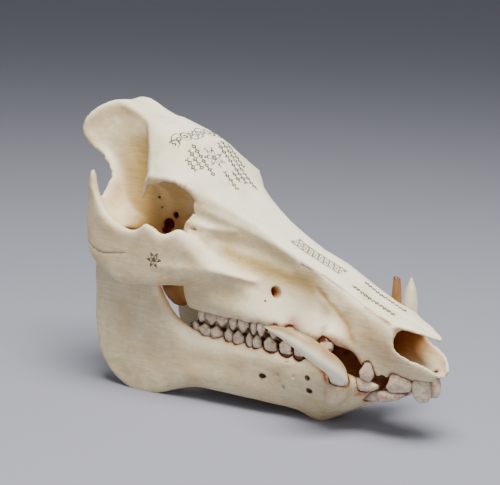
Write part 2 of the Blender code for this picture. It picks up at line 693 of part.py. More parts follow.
def main():
    """Clears the scene and builds the skull."""
    for old in list(bpy.data.objects):
        bpy.data.objects.remove(old)
    parts = bpy.data.collections.new("boar_skull")
    cutters = bpy.data.collections.new("cutters")
    for collection in (parts, cutters):
        bpy.context.scene.collection.children.link(collection)
    bones = {"upper": build_cranium(parts, cutters), "lower": build_mandible(parts)}
    sockets = {"upper": [], "lower": []}
    tusks = (
        ("lower_tusk_right", LOWER_TUSK_RIGHT, -1, TUSK_COLOUR),
        ("lower_tusk_left", LOWER_TUSK_LEFT, 1, TUSK_COLOUR),
        ("upper_canine_left", UPPER_CANINE_LEFT, 1, STAINED_TUSK_COLOUR),
        ("upper_canine_stump_right", UPPER_CANINE_STUMP, -1, TOOTH_COLOUR),
    )
    for name, path, side, colour in tusks:
        build_tusk(parts, name, path, side, colour, sockets[name[:5]])
    for jaw, bone in bones.items():
        finish(bone, BONE_COLOUR, 0.55)
        trenches = []
        for side_name, side in SIDES:
            build_cheek_teeth(parts, side_name, side, jaw, trenches)
            build_front_teeth(parts, side_name, side, jaw, sockets[jaw])
        cut(bone, helper(f"{jaw}_trenches", trenches, cutters))
        cut(bone, helper(f"{jaw}_sockets", sockets[jaw], cutters))
    table = loft(box_rings(-50, 400, 0, 300, -TABLE_CUT, 0), 1, 1, 1)
    cut(bones["lower"], helper("table_cut", [table], cutters))


main()
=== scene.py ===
"""Looks of a carved wild boar skull: its bones, teeth and tusks, and the finish on each of them.

Meshes are in metres, +X to the snout, +Y to the animal's left and +Z up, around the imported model.
Outlines and strokes are written in millimetres, with x measured forward from the back of the crest,
and place() brings them to the model. A row of a path is (x, y, z) and then what its piece needs.
"""

import logging
import math
from collections.abc import Callable, Iterable, Sequence
from dataclasses import KW_ONLY, dataclass, replace
from enum import Enum
from functools import cache, reduce

import bmesh
import bpy
import numpy as np
from mathutils import Matrix, Vector, noise
from mathutils.bvhtree import BVHTree


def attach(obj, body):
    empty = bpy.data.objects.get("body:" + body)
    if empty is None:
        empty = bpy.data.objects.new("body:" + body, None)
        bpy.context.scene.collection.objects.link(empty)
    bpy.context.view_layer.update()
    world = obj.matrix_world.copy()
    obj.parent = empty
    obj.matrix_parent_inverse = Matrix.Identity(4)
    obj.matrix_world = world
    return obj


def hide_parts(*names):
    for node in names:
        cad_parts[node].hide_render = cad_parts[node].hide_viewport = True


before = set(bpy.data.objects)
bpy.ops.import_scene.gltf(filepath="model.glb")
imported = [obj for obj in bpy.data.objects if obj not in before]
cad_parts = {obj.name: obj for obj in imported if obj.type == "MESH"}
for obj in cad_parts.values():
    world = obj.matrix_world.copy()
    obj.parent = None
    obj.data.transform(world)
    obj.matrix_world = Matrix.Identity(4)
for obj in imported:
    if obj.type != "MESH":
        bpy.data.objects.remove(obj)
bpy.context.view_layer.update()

MM = 0.001
CREST_TO_ORIGIN = 157.0
BITE_HEIGHT = 59.6
BODY = "root"

log = logging.getLogger("boar_skull")

Row = tuple[float, ...]
Path = tuple[Row, ...]
Outlines = tuple[Path, ...]
Sections = tuple[tuple[float, Path], ...]
Rings = list[list[Row]]
Form = bmesh.types.BMesh
Piece = bpy.types.Object
Socket = bpy.types.NodeSocket


class Side(Enum):
    """Which side of the animal a thing is on, as the sign of its y."""

    LEFT = 1
    RIGHT = -1
    BOTH = 0


class Jaw(Enum):
    """The jaw that a tooth stands in, as the direction in which its crown points."""

    UPPER = -1
    LOWER = 1


class Slot(Enum):
    """The record's material slots."""

    BONE = "bone"
    TOOTH = "tooth"
    TUSK = "tusk"
    STAINED_TUSK = "stained_tusk"


class Mask(Enum):
    """Masks painted on a bone or tooth, named for what they show."""

    HOLLOW = "hollow"
    SEAM = "seam"
    RUST = "rust"
    TAN_AND_SHADE = "tan_and_shade"
    BLUSH = "blush"
    PAINTED_TOPLIGHT = "painted_toplight"


def place(x: float, y: float, z: float) -> Vector:
    """The point in metres of millimetres measured from the back of the crest."""
    return Vector(((x - CREST_TO_ORIGIN) * MM, y * MM, z * MM))


def linear(code: str) -> Row:
    """The linear red, green, blue and alpha of a colour given as six sRGB hex digits."""
    shares = [int(code[i : i + 2], 16) / 255 for i in (0, 2, 4)]
    return *(c / 12.92 if c <= 0.04045 else ((c + 0.055) / 1.055) ** 2.4 for c in shares), 1.0


class Recipe:
    """A material, and the one function that adds a node to it."""

    def __init__(self, name: str) -> None:
        """Starts a material, with object coordinates at hand.

        Args:
            name: Its name.
        """
        self.material = bpy.data.materials.new(name)
        self.material.use_nodes = True
        self.tree = self.material.node_tree
        self.points = self.add("TexCoord", out="Object")

    def add(
        self,
        kind: str,
        *values: object,
        named: dict[str, object] | None = None,
        out: int | str = 0,
        **settings: object,
    ) -> Socket:
        """Adds a node with its settings and links.

        Args:
            kind: The node's type without its ShaderNode prefix, and after a colon its operation.
            values: What goes into its inputs in order: a socket, a value, or None to leave it.
            named: The same for inputs that are given by name.
            out: The output that is wanted.
            settings: Properties of the node; stops is a ramp's list of (position, hex colour).

        Returns:
            The wanted output of the new node.
        """
        kind, _, operation = kind.partition(":")
        node = self.tree.nodes.new("ShaderNode" + kind)
        if operation:
            node.operation = operation
        for position, code in settings.pop("stops", ()):
            stops = node.color_ramp.elements
            stop = stops[-1] if position == 1.0 else stops[0] if position == 0.0 else stops.new(position)
            stop.color = linear(code)
        for key, value in settings.items():
            setattr(node, key, value)
        self.fill(zip(node.inputs, values))
        self.fill((node.inputs[name], value) for name, value in (named or {}).items())
        return node.outputs[out]

    def fill(self, pairs: Iterable[tuple[Socket, object]]) -> None:
        """Links or sets each input that has a value.

        Args:
            pairs: Inputs, each with a socket, a value or None.
        """
        for socket, value in pairs:
            if isinstance(value, Socket):
                self.tree.links.new(value, socket)
            elif value is not None:
                socket.default_value = value

    def finish(self, sockets: dict[str, object]) -> bpy.types.Material:
        """Fills the shader's own sockets.

        Args:
            sockets: What goes into them, by name.

        Returns:
            The finished material.
        """
        shader = self.tree.nodes["Principled BSDF"]
        self.fill((shader.inputs[name], value) for name, value in sockets.items())
        return self.material

    def layered(self, base: str, layers: Iterable[tuple[Socket, Socket | str]]) -> Socket:
        """Lays colours over each other, as stains lie on a surface.

        Args:
            base: The hex colour underneath.
            layers: A share and a colour for each layer, from the lowest up.

        Returns:
            The colour that shows.
        """
        colour = linear(base)
        for share, above in layers:
            above = linear(above) if isinstance(above, str) else above
            colour = self.add("Mix", share, *[None] * 5, colour, above, out=2, data_type="RGBA")
        return colour


@dataclass(frozen=True)
class Spot:
    """A place on the bone to cut lines at, as a way u along it and a way v across it, in millimetres.

    The masks that it gives are one in their lines and zero elsewhere.
    """

    add: Callable[..., Socket]
    u: Socket
    v: Socket
    line: float

    def at(self, along: float, middle: float) -> "Spot":
        """The same place, measured from another point."""
        u, v = (self.add("Math:SUBTRACT", *pair) for pair in ((self.u, along), (self.v, middle)))
        return replace(self, u=u, v=v)

    def over(self, *masks: Socket) -> Socket:
        """The masks laid over each other."""
        return reduce(lambda whole, mask: self.add("Math:MAXIMUM", whole, mask), masks)

    def within(self, *masks: Socket) -> Socket:
        """What all of the masks have in common."""
        return reduce(lambda whole, mask: self.add("Math:MULTIPLY", whole, mask), masks)

    def window(self, value: Socket, half: float) -> Socket:
        """One where the value is within half of zero, with a short fade beyond."""
        return self.add("MapRange", self.add("Math:ABSOLUTE", value), half - 0.3, half + 0.3, 1.0, 0.0)

    def framed(self, mask: Socket, half_u: float, half_v: float) -> Socket:
        """A mask that ends at these distances along and across."""
        return self.within(mask, self.window(self.u, half_u), self.window(self.v, half_v))

    def stroke(self, away: Socket, width: float) -> Socket:
        """A cut line where the distance from its middle is under the width."""
        return self.add("MapRange", self.add("Math:ABSOLUTE", away), 0.6 * width, 1.4 * width, 1.0, 0.0)

    def cell(self, value: Socket, pitch: float, start: float = 0.0) -> Socket:
        """Distance along a row of equal cells, measured from the middle of each."""
        share = self.add("Math:MULTIPLY_ADD", value, 1 / pitch, 0.5 - start / pitch)
        return self.add("Math:MULTIPLY_ADD", self.add("Math:FRACT", share), pitch, -0.5 * pitch)

    def away(self) -> Socket:
        """Distance from the place itself."""
        return self.add("VectorMath:LENGTH", self.add("CombineXYZ", self.u, self.v), out="Value")

    def scroll(self, pitch: float, size: float) -> Socket:
        """A spiral about the place.

        Args:
            pitch: Distance between its turns.
            size: Its radius.

        Returns:
            Its mask.
        """
        arm = self.add("Math:MULTIPLY", self.away(), 1 / pitch)
        arm = self.add("Math:MULTIPLY_ADD", self.add("Math:ARCTAN2", self.v, self.u), -0.5 / math.pi, arm)
        arm = self.add("Math:MULTIPLY_ADD", self.add("Math:FRACT", arm), pitch, -0.5 * pitch)
        return self.within(self.stroke(arm, self.line), self.window(self.away(), size))

    def petals(self, size: float, count: int, line: float) -> Socket:
        """A rosette: petals round an eye, and a ring of dots about them.

        Args:
            size: Its radius.
            count: How many petals it has.
            line: Width of its lines.

        Returns:
            Its mask.
        """
        turn, away = self.add("Math:ARCTAN2", self.v, self.u), self.away()
        wave = self.add("Math:COSINE", self.add("Math:MULTIPLY", turn, 0.5 * count))
        edge = self.add("Math:MULTIPLY_ADD", self.add("Math:ABSOLUTE", wave), 0.46 * size, 0.24 * size)
        ends = (edge, 0.15 * size, 0.88 * size)
        petal, eye, beyond = (self.add("Math:SUBTRACT", away, end) for end in ends)
        around = self.cell(self.add("Math:MULTIPLY", turn, 0.5 / math.pi), 1 / count)
        around = self.add("Math:MULTIPLY", around, 2 * math.pi * 0.88 * size)
        dots = self.stroke(replace(self, u=around, v=beyond).away(), 0.06 * size + 0.3)
        cuts = self.over(self.stroke(petal, line), self.stroke(eye, line), dots)
        return self.within(cuts, self.window(away, size))

    def twisted(self, height: float, pitch: float) -> Socket:
        """Two strands that cross in a band, with a dot in each eye and a border on both sides.

        Args:
            height: Half the band's breadth.
            pitch: Length of a turn of the strands.

        Returns:
            Its mask.
        """
        wave = self.add("Math:SINE", self.add("Math:MULTIPLY", self.u, 2 * math.pi / pitch))
        lines = [self.add("Math:MULTIPLY_ADD", wave, k * height, self.v) for k in (0.62, -0.62)]
        lines.append(self.add("Math:SUBTRACT", self.add("Math:ABSOLUTE", self.v), height))
        eyes = replace(self, u=self.cell(self.u, 0.5 * pitch, 0.25 * pitch)).away()
        return self.over(*(self.stroke(line, 1.2 * self.line) for line in lines), self.stroke(eyes, 0.8))

    def chain(self, pitch: float, height: float) -> Socket:
        """A row of lozenges with dots between them.

        Args:
            pitch: Distance between two lozenges.
            height: Half the height of one.

        Returns:
            Its mask.
        """
        along = self.add("Math:ABSOLUTE", self.cell(self.u, pitch))
        slope = self.add("Math:MULTIPLY_ADD", self.add("Math:ABSOLUTE", self.v), 0.3 * pitch / height, along)
        edge = self.add("Math:SUBTRACT", slope, 0.3 * pitch)
        dots = replace(self, u=self.cell(self.u, pitch, 0.5 * pitch)).away()
        return self.over(self.stroke(edge, self.line), self.stroke(dots, 0.7))


@dataclass(frozen=True)
class Ornament:
    """Traditional ornament cut into the bone and inked: scrolls, a rosette, a twisted band and chains.

    Lengths are in millimetres on the bone. Each is given by its way along the skull and across it, then
    its sizes; a row of the forehead's chains by its way across, start and end; the flower by its x and z.
    """

    line: float = 0.7
    cheek_line: float = 0.9
    frieze: Row = (71.0, -1.0, 27.0)
    scroll_pitch: float = 13.5
    rosette: Row = (96.0, -4.0, 10.5)
    rows: Path = (
        (-23.0, 84.0, 103.0), (-17.0, 81.0, 112.0), (10.5, 84.0, 124.0), (16.5, 82.0, 131.0),
        (22.0, 84.0, 108.0), (-4.0, 110.0, 129.0), (-29.0, 88.0, 101.0), (4.5, 111.0, 122.0),
    )
    twist: Row = (214.6, -2.0, 48.0, 5.4)
    chains: Row = (272.5, 7.4, 41.0)
    cheek: Row = (101.7, 107.5, 6.2)

    def draw(self, recipe: Recipe) -> Socket:
        """The whole ornament as one mask of cut lines.

        Args:
            recipe: The bone's material.

        Returns:
            One in the cut lines and zero elsewhere.
        """
        add = recipe.add
        sheet = add("Attribute", attribute_name="drawing", out="Vector")
        # The carver's hand wanders by half a millimetre every 6 mm
        tremble = add("TexNoise", recipe.points, None, 1000 / 6.0, 2.0, out="Color")
        tremble = add("VectorMath:SUBTRACT", tremble, (0.5, 0.5, 0.5))
        sheet = add("VectorMath:MULTIPLY_ADD", tremble, (1.0, 1.0, 0.0), sheet)
        u, v, on_top = (add("SeparateXYZ", sheet, out=axis) for axis in range(3))
        top = Spot(add, u, v, self.line)
        cuts = top.over(self.draw_frieze(top), self.draw_rosette(top), self.draw_nose(top))
        return top.over(top.within(cuts, on_top), self.draw_flower(recipe))

    def draw_frieze(self, top: Spot) -> Socket:
        """Running scrolls on a waving stem across the forehead.

        Args:
            top: The top of the skull.

        Returns:
            Their mask.
        """
        along, middle, half = self.frieze
        spot, pitch = top.at(along, middle), self.scroll_pitch
        rise, run = spot.u, spot.v
        swirl = replace(spot, u=spot.cell(run, pitch), v=rise).scroll(3.2, 5.8)
        stem = spot.add("Math:SINE", spot.add("Math:MULTIPLY", run, math.pi / pitch))
        stem = spot.add("Math:MULTIPLY_ADD", stem, 7.0, rise)
        leaf = replace(spot, u=spot.cell(run, pitch, 0.5 * pitch), v=rise).away()
        leaf = spot.add("Math:SUBTRACT", leaf, 1.7)
        cuts = spot.over(swirl, spot.stroke(stem, self.line), spot.stroke(leaf, self.line))
        return spot.framed(cuts, 7.4, half)

    def draw_rosette(self, top: Spot) -> Socket:
        """A rosette in front of the frieze, among chains that run down the forehead.

        Args:
            top: The top of the skull.

        Returns:
            Their mask.
        """
        along, middle, size = self.rosette
        cuts = [top.at(along, middle).petals(size, 7, 1.2 * self.line)]
        for offset, start, end in self.rows:
            row = top.at(0.5 * (start + end), offset)
            cuts.append(row.framed(replace(row, u=top.u).chain(4.4, 1.9), 0.5 * (end - start), 2.6))
        return top.over(*cuts)

    def draw_nose(self, top: Spot) -> Socket:
        """A twisted band on the nasal bones, then a chain on each of their fronts.

        Args:
            top: The top of the skull.

        Returns:
            Their mask.
        """
        along, middle, length, height = self.twist
        spot = top.at(along, middle)
        band = spot.framed(spot.twisted(height, 10.0), 0.5 * length, height + 0.5)
        along, aside, length = self.chains
        spot = replace(top, v=top.add("Math:ABSOLUTE", top.v)).at(along, aside)
        return top.over(band, spot.framed(spot.chain(3.6, 1.5), 0.5 * length, 2.0))

    def draw_flower(self, recipe: Recipe) -> Socket:
        """A small flower on the right cheekbone.

        Args:
            recipe: The bone's material.

        Returns:
            Its mask.
        """
        x, z, size = self.cheek
        in_mm = {"Scale": (1 / MM, 1 / MM, 1 / MM)}
        spot = recipe.add("Mapping", recipe.points, (CREST_TO_ORIGIN - x, 0.0, -z), named=in_mm)
        across, outward, upward = (recipe.add("SeparateXYZ", spot, out=axis) for axis in range(3))
        near = recipe.add("MapRange", outward, -58.0, -55.0, 1.0, 0.0)
        spot = Spot(recipe.add, across, upward, self.cheek_line)
        return spot.within(spot.petals(size, 6, self.cheek_line), near)


@dataclass(frozen=True)
class Finish:
    """A waxy, faintly translucent finish, with its gloss, relief and depth of glow.

    Gloss is the range of its roughness, and relief is a bump's strength and height in metres.
    """

    name: str
    gloss: Row = (0.3, 0.44)
    relief: Row = (0.35, 0.0002)
    ior: float = 1.54
    glow: float = 0.06
    glow_tint: Row = (1.0, 0.75, 0.5)
    glow_depth: float = 0.003

    def pattern(self, recipe: Recipe) -> tuple[Socket, Socket, Socket]:
        """Its colour, what varies its gloss, and its height. Each kind of finish has its own."""
        raise NotImplementedError

    @cache
    def make(self) -> bpy.types.Material:
        """Builds the material, once for all pieces that have it.

        Returns:
            The finished material.
        """
        recipe = Recipe(self.name)
        colour, mottle, height = self.pattern(recipe)
        return recipe.finish(
            {
                "Base Color": colour,
                "Roughness": recipe.add("MapRange", mottle, 0.3, 0.7, *self.gloss),
                "Normal": recipe.add("Bump", *self.relief, named={"Height": height}),
                "IOR": self.ior,
                "Subsurface Weight": self.glow,
                "Subsurface Radius": self.glow_tint,
                "Subsurface Scale": self.glow_depth,
            }
        )


@dataclass(frozen=True)
class DryBone(Finish):
    """Degreased and sun-bleached bone, which may be carved and inked on its top.

    To the eye it is a matt ivory with a faint waxy sheen, grained along the skull, and nearly white where
    it faces up, which is painted top light; amber to dark brown in its hollows, partly fat and dirt that
    stayed there and partly painted shade.
    """

    ornament: Ornament | None = None
    gloss: Row = (0.46, 0.62)
    relief: Row = (0.45, 0.00025)
    ior: float = 1.5
    glow_tint: Row = (1.0, 0.7, 0.45)
    ivory: str = "efe2bf"
    warm: str = "cdb07c"
    white: str = "fffbeb"
    moss: str = "e9e4b8"
    tan: str = "bf9c52"
    rust: str = "b1602a"
    blush: str = "bd8573"
    seam: str = "3d1c0e"
    ink: str = "2f2c29"
    grease_and_shade: tuple[tuple[float, str], ...] = (
        (0.0, "cbb98c"), (0.6, "c39a56"), (0.76, "b98644"), (0.9, "96400f"), (1.0, "931d07")
    )

    def pattern(self, recipe: Recipe) -> tuple[Socket, Socket, Socket]:
        """Clouds, grain, pores, hairlines, fat, stains, painted top light and shade, under the ornament.

        Args:
            recipe: The material.

        Returns:
            Its colour, what varies its gloss, and its height.
        """
        add, points = recipe.add, recipe.points
        masks = {mask: add("Attribute", attribute_name=mask.value, out="Fac") for mask in Mask}
        # Clouding of the bone in patches of about 22 mm
        cloud = add("TexNoise", points, None, 1000 / 22.0, 4.0, 0.6)
        cloud = add("MapRange", cloud, 0.36, 0.7, 0.0, 0.6)
        # Growth grain: fibres about 1.6 mm apart that run along the skull for some 30 mm
        fibres = add("Mapping", points, named={"Scale": (1000 / 30.0, 1000 / 1.6, 1000 / 1.6)})
        grain = add("TexNoise", fibres, None, 1.0, 3.0, 0.55)
        streak = add("MapRange", grain, 0.42, 0.7, 0.0, 0.4)
        # Pores are about 0.2 mm; they are drawn at 0.8 mm, because finer ones don't show
        pores = add("TexNoise", points, None, 1000 / 0.8, 2.0, 0.5)
        # A greenish cast in patches of 34 mm, only on the parts that face up and lie open
        green = add("MapRange", add("TexNoise", points, None, 1000 / 34.0, 2.0), 0.48, 0.7, 0.0, 0.75)
        green = add("Math:MULTIPLY", green, masks[Mask.PAINTED_TOPLIGHT])
        tan_and_shade = add("Math:MULTIPLY_ADD", streak, 0.6, 0.85)
        tan_and_shade = add("Math:MULTIPLY", masks[Mask.TAN_AND_SHADE], tan_and_shade, use_clamp=True)
        hollow = add("Math:MULTIPLY_ADD", cloud, 0.06, masks[Mask.HOLLOW])
        # Amber spots of about 4 mm, where the bone's fat came through
        spots = add("TexNoise", points, None, 1000 / 4.0, 3.0, 0.6)
        spots = add("MapRange", spots, 0.52, 0.74, 0.0, 0.42)
        # Hairline cracks along the grain, some 9 mm apart, in places only
        drawn = add("Mapping", points, named={"Scale": (1000 / 60.0, 1000 / 9.0, 1000 / 9.0)})
        hair = add("TexVoronoi", drawn, feature="DISTANCE_TO_EDGE", named={"Scale": 1.0})
        dry = add("MapRange", add("TexNoise", points, None, 1000 / 28.0, 2.0), 0.53, 0.64, 0.0, 1.0)
        hair = add("Math:MULTIPLY", add("MapRange", hair, 0.0, 0.024, 0.42, 0.0), dry)
        layers = [
            (cloud, self.warm),
            (spots, self.warm),
            (streak, self.warm),
            # Painted top light: near white where the bone faces up and lies open
            (masks[Mask.PAINTED_TOPLIGHT], self.white),
            (green, self.moss),
            # Tan in the temple and eye socket, and painted shade under ridges, in creases and in deep gaps
            (tan_and_shade, self.tan),
            # Fat in the hollows, and painted shade darkening them to dark brown where most shut in
            (add("MapRange", hollow, 0.38, 0.78, 0.0, 1.0), add("ValToRGB", hollow, stops=self.grease_and_shade)),
            (hair, self.tan),
        ]
        broken = add("MapRange", grain, 0.3, 0.62, 0.7, 1.15)
        for mask, code in ((Mask.BLUSH, self.blush), (Mask.RUST, self.rust), (Mask.SEAM, self.seam)):
            layers.append((add("Math:MULTIPLY", masks[mask], broken, use_clamp=True), code))
        height = add("Math:MULTIPLY_ADD", grain, 0.5, pores)
        height = add("Math:MULTIPLY_ADD", hair, -0.7, height)
        if self.ornament is not None:
            cut = self.ornament.draw(recipe)
            # Ink is worn away in spots of about 2 mm
            worn = add("MapRange", add("TexNoise", points, None, 1000 / 2.2, 3.0), 0.3, 0.55, 0.62, 1.0)
            layers.append((add("Math:MULTIPLY", cut, worn), self.ink))
            height = add("Math:MULTIPLY_ADD", cut, -1.6, height)
        return recipe.layered(self.ivory, layers), pores, height


@dataclass(frozen=True)
class Enamel(Finish):
    """Old tooth enamel, polished by chewing and stained brown where food lay.

    To the eye it is a pinkish white-grey with a soft gloss, and dark brown in its grooves and at the gum.
    Growth is the size of its growth lines along x, y and z, in millimetres.
    """

    name: str = "stained_enamel"
    gloss: Row = (0.26, 0.42)
    relief: Row = (0.3, 0.0002)
    ior: float = 1.62
    glow: float = 0.05
    glow_tint: Row = (1.0, 0.7, 0.5)
    glow_depth: float = 0.002
    pale: str = "ebdec4"
    rose: str = "c4a58f"
    brown: str = "56270f"
    growth: Row = (6.0, 6.0, 0.9)

    def pattern(self, recipe: Recipe) -> tuple[Socket, Socket, Socket]:
        """Rosy clouds, growth lines, hairlines and the brown of its grooves.

        Args:
            recipe: The material.

        Returns:
            Its colour, what varies its gloss, and its height.
        """
        add, points = recipe.add, recipe.points
        # Clouds of about 4 mm in the enamel, and growth lines about 0.9 mm apart round each tooth
        cloud = add("TexNoise", points, None, 1000 / 4.0, 3.0, 0.55)
        flat = add("Mapping", points, named={"Scale": tuple(1000 / step for step in self.growth)})
        lines = add("TexNoise", flat, None, 1.0, 2.0)
        # Hairlines in the enamel, some 3 mm apart, that hold what was chewed
        hair = add("TexVoronoi", points, feature="DISTANCE_TO_EDGE", named={"Scale": 1000 / 3.2})
        stain = add("Attribute", attribute_name=Mask.SEAM.value, out="Fac")
        stain = add("Math:MULTIPLY_ADD", cloud, 0.35, stain)
        layers = [
            (add("MapRange", cloud, 0.4, 0.65, 0.0, 0.9), self.rose),
            (add("MapRange", lines, 0.5, 0.66, 0.0, 0.55), self.rose),
            (add("MapRange", hair, 0.0, 0.06, 0.26, 0.0), self.brown),
            (add("MapRange", stain, 0.5, 0.95, 0.0, 1.0), self.brown),
        ]
        return recipe.layered(self.pale, layers), cloud, add("Math:MULTIPLY_ADD", cloud, 1.5, lines)


@dataclass(frozen=True)
class Ivory(Finish):
    """Tusk ivory, worn smooth along its length and stained at the root.

    To the eye it is a cream or brown with fine lengthwise lines and a silky gloss.
    """

    pale: str = "fdf6dd"
    shade: str = "b3966a"
    root: str = "8a6234"
    cracks: float = 0.3

    def pattern(self, recipe: Recipe) -> tuple[Socket, Socket, Socket]:
        """Lengthwise lines and painted shade, laid where the tusk faces up, with the root and the tip
        stained.

        Args:
            recipe: The material.

        Returns:
            Its colour, what varies its gloss, and its height.
        """
        add = recipe.add
        # The attribute wrap runs 0 to 1 from root to tip, and turns once round the tusk
        wrap = add("Attribute", attribute_name="wrap", out="Vector")
        along, under = (add("SeparateXYZ", wrap, out=axis) for axis in (0, 2))
        # Lines about 1.2 mm apart that follow the tusk
        lines = add("Mapping", wrap, named={"Scale": (2.0, 16.0, 0.0)})
        lines = add("TexNoise", lines, None, 1.0, 4.0, 0.6)
        # Clouds of about 9 mm
        cloud = add("TexNoise", recipe.points, None, 1000 / 9.0, 3.0, 0.55)
        # Painted shade: under is the share that faces up, so the shade colour lies on the tusk's top
        shade = add("Math:MULTIPLY_ADD", cloud, 0.5, under)
        base = add("Math:MULTIPLY_ADD", cloud, 0.12, along)
        layers = [
            (add("MapRange", shade, 0.3, 0.95, 0.0, 1.0), self.shade),
            (add("MapRange", lines, 0.56, 0.72, 0.0, self.cracks), self.root),
            (add("MapRange", base, 0.14, 0.27, 1.0, 0.0), self.root),
            (add("MapRange", along, 0.93, 1.0, 0.0, self.cracks), self.root),
        ]
        return recipe.layered(self.pale, layers), cloud, lines


@dataclass(frozen=True)
class PalePaper:
    """Seamless studio paper, which to the eye is an even, matt, pale grey."""

    name: str = "pale_paper"
    colour: str = "989db2"
    cloud: str = "8b90a5"

    def make(self) -> bpy.types.Material:
        """Builds the material.

        Returns:
            The finished paper material.
        """
        recipe = Recipe(self.name)
        # Faint clouds of about 300 mm in the paper's tone
        share = recipe.add("TexNoise", recipe.points, None, 1 / 0.3, 2.0)
        share = recipe.add("MapRange", share, 0.3, 0.7, 0.0, 0.08)
        colour = recipe.layered(self.colour, [(share, self.cloud)])
        return recipe.finish({"Base Color": colour, "Roughness": 0.9, "IOR": 1.45})


def smooth_rows(rows: Sequence, steps: int, closed: bool = False) -> np.ndarray:
    """A smooth curve through rows of numbers.

    Args:
        rows: Points, or whole outlines of the same count, in order.
        steps: Steps between two rows.
        closed: Whether the last row leads back to the first.

    Returns:
        The rows of the curve.
    """
    table = np.asarray(rows, float)
    if closed:
        table = np.concatenate([table[-1:], table, table[:2]])
    else:
        table = np.concatenate([2 * table[:1] - table[1:2], table, 2 * table[-1:] - table[-2:-1]])
    made = []
    for a, b, c, d in zip(table, table[1:], table[2:], table[3:]):
        for t in np.arange(steps) / steps:
            square = (2 * a - 5 * b + 4 * c - d) * t**2
            cube = (3 * b - a - 3 * c + d) * t**3
            made.append(0.5 * (2 * b + (c - a) * t + square + cube))
    if not closed:
        made.append(table[-2])
    return np.array(made)


def skin(outlines: Sequence, along: int = 3, around: int = 2, side: Side = Side.LEFT) -> Form:
    """A closed form made by wrapping a grid round smooth outlines.

    Args:
        outlines: Closed outlines of the same count of points, in millimetres.
        along: Rows of the grid between two outlines.
        around: Columns of the grid between two points of an outline.
        side: RIGHT mirrors the form.

    Returns:
        The form, in metres.
    """
    table = np.array([smooth_rows(ring, around, closed=True) for ring in smooth_rows(outlines, along)])
    rows, columns = table.shape[:2]
    form = bmesh.new()
    bmesh.ops.create_grid(form, x_segments=columns, y_segments=rows - 1, size=1.0)
    for vert in form.verts:
        column = round(0.5 * (vert.co.x + 1) * columns) % columns
        x, y, z = table[round(0.5 * (vert.co.y + 1) * (rows - 1)), column]
        vert.co = place(x, side.value * y, z)
    bmesh.ops.remove_doubles(form, verts=form.verts, dist=1e-7)
    bmesh.ops.holes_fill(form, edges=[edge for edge in form.edges if edge.is_boundary], sides=0)
    bmesh.ops.recalc_face_normals(form, faces=form.faces)
    return form


def across(x: float, half: Path) -> list[Row]:
    """A closed upright outline across the skull, from its left half of (y, z) points."""
    return [(x, y, z) for y, z in half] + [(x, -y, z) for y, z in half[-2:0:-1]]


def oval(x: float, half_width: float, floor: float, roof: float) -> list[Row]:
    """An upright oval outline across the skull, from its half width, floor and roof."""
    turns, middle, half = np.arange(16) * math.pi / 8, 0.5 * (floor + roof), 0.5 * (roof - floor)
    return [(x, half_width * math.sin(turn), middle + half * math.cos(turn)) for turn in turns]


def blade(
    x: float, outer: float, thickness: float, bottom: float, top: float, outer_top: float | None = None
) -> list[Row]:
    """The outline of an upright plate with rounded edges.

    Args:
        x: Where it stands along the skull.
        outer: Its outer side at the bottom.
        thickness: Its thickness across the skull.
        bottom: Its lower edge.
        top: Its upper edge.
        outer_top: Its outer side at the top, if it leans.

    Returns:
        Eight points round the plate.
    """
    half = 0.5 * thickness
    edge = min(half, 0.4 * (top - bottom))
    low, high = outer - half, (outer if outer_top is None else outer_top) - half
    mid, level = 0.5 * (low + high), 0.5 * (top + bottom)
    outside = [(x, high, top), (x, high + half, top - edge), (x, mid + half, level)]
    inside = [(x, low, bottom), (x, low - half, bottom + edge), (x, mid - half, level)]
    return outside + [(x, low + half, bottom + edge)] + inside + [(x, high - half, top - edge)]


def tube(path: Sequence[Row], count: int = 12, ridges: int = 0, sharp: float = 0.0) -> Rings:
    """Outlines square to a path.

    Args:
        path: Points of (x, y, z, radius), or of (x, y, z, radius, flattening).
        count: Points in each outline.
        ridges: How many lengthwise ridges the section has.
        sharp: How far the ridges stand out, as a share of the radius.

    Returns:
        One outline for each point of the path.
    """
    table = np.array([(*row, 1.0)[:5] for row in path], float)
    rings = []
    for (x, y, z, radius, flat), direction in zip(table.tolist(), np.gradient(table[:, :3], axis=0)):
        ahead = Vector(direction).normalized()
        level = ahead.cross(Vector((0, 0, 1)))
        level = level.normalized() if level.length > 0.1 else ahead.cross(Vector((1, 0, 0))).normalized()
        upward = level.cross(ahead)
        ring = []
        for turn in (2 * math.pi * i / count for i in range(count)):
            reach = radius * (1 + sharp * math.cos(ridges * turn + 0.5 * math.pi))
            offset = reach * (level * math.cos(turn) + upward * (flat * math.sin(turn)))
            ring.append(tuple(Vector((x, y, z)) + offset))
        rings.append(ring)
    return rings


def both(rings: Rings, along: int, around: int) -> list[Form]:
    """The form that outlines of the left side make, and its mirror image."""
    return [skin(rings, along, around, side) for side in (Side.LEFT, Side.RIGHT)]


def balls(centre: Row, radii: Row) -> list[Form]:
    """Egg-shaped forms about a point of the left side and its mirror image.

    Args:
        centre: The point.
        radii: Their radii along x, y and z.

    Returns:
        The forms.
    """
    forms = []
    for side in (Side.LEFT, Side.RIGHT):
        form = bmesh.new()
        bmesh.ops.create_icosphere(form, subdivisions=4, radius=1.0)
        bmesh.ops.scale(form, vec=Vector(radii) * MM, verts=form.verts)
        x, y, z = centre
        bmesh.ops.translate(form, vec=place(x, side.value * y, z), verts=form.verts)
        forms.append(form)
    return forms


def as_mesh(name: str, form: Form) -> bpy.types.Mesh:
    """The mesh of a form, which is used up.

    Args:
        name: Its name.
        form: The form.

    Returns:
        The mesh, shaded smooth.
    """
    mesh = bpy.data.meshes.new(name)
    form.to_mesh(mesh)
    form.free()
    mesh.shade_smooth()
    return mesh


def put(name: str, data: bpy.types.ID) -> Piece:
    """A new object in the scene.

    Args:
        name: Its name.
        data: Its mesh, light or camera.

    Returns:
        The object.
    """
    piece = bpy.data.objects.new(name, data)
    bpy.context.scene.collection.objects.link(piece)
    return piece


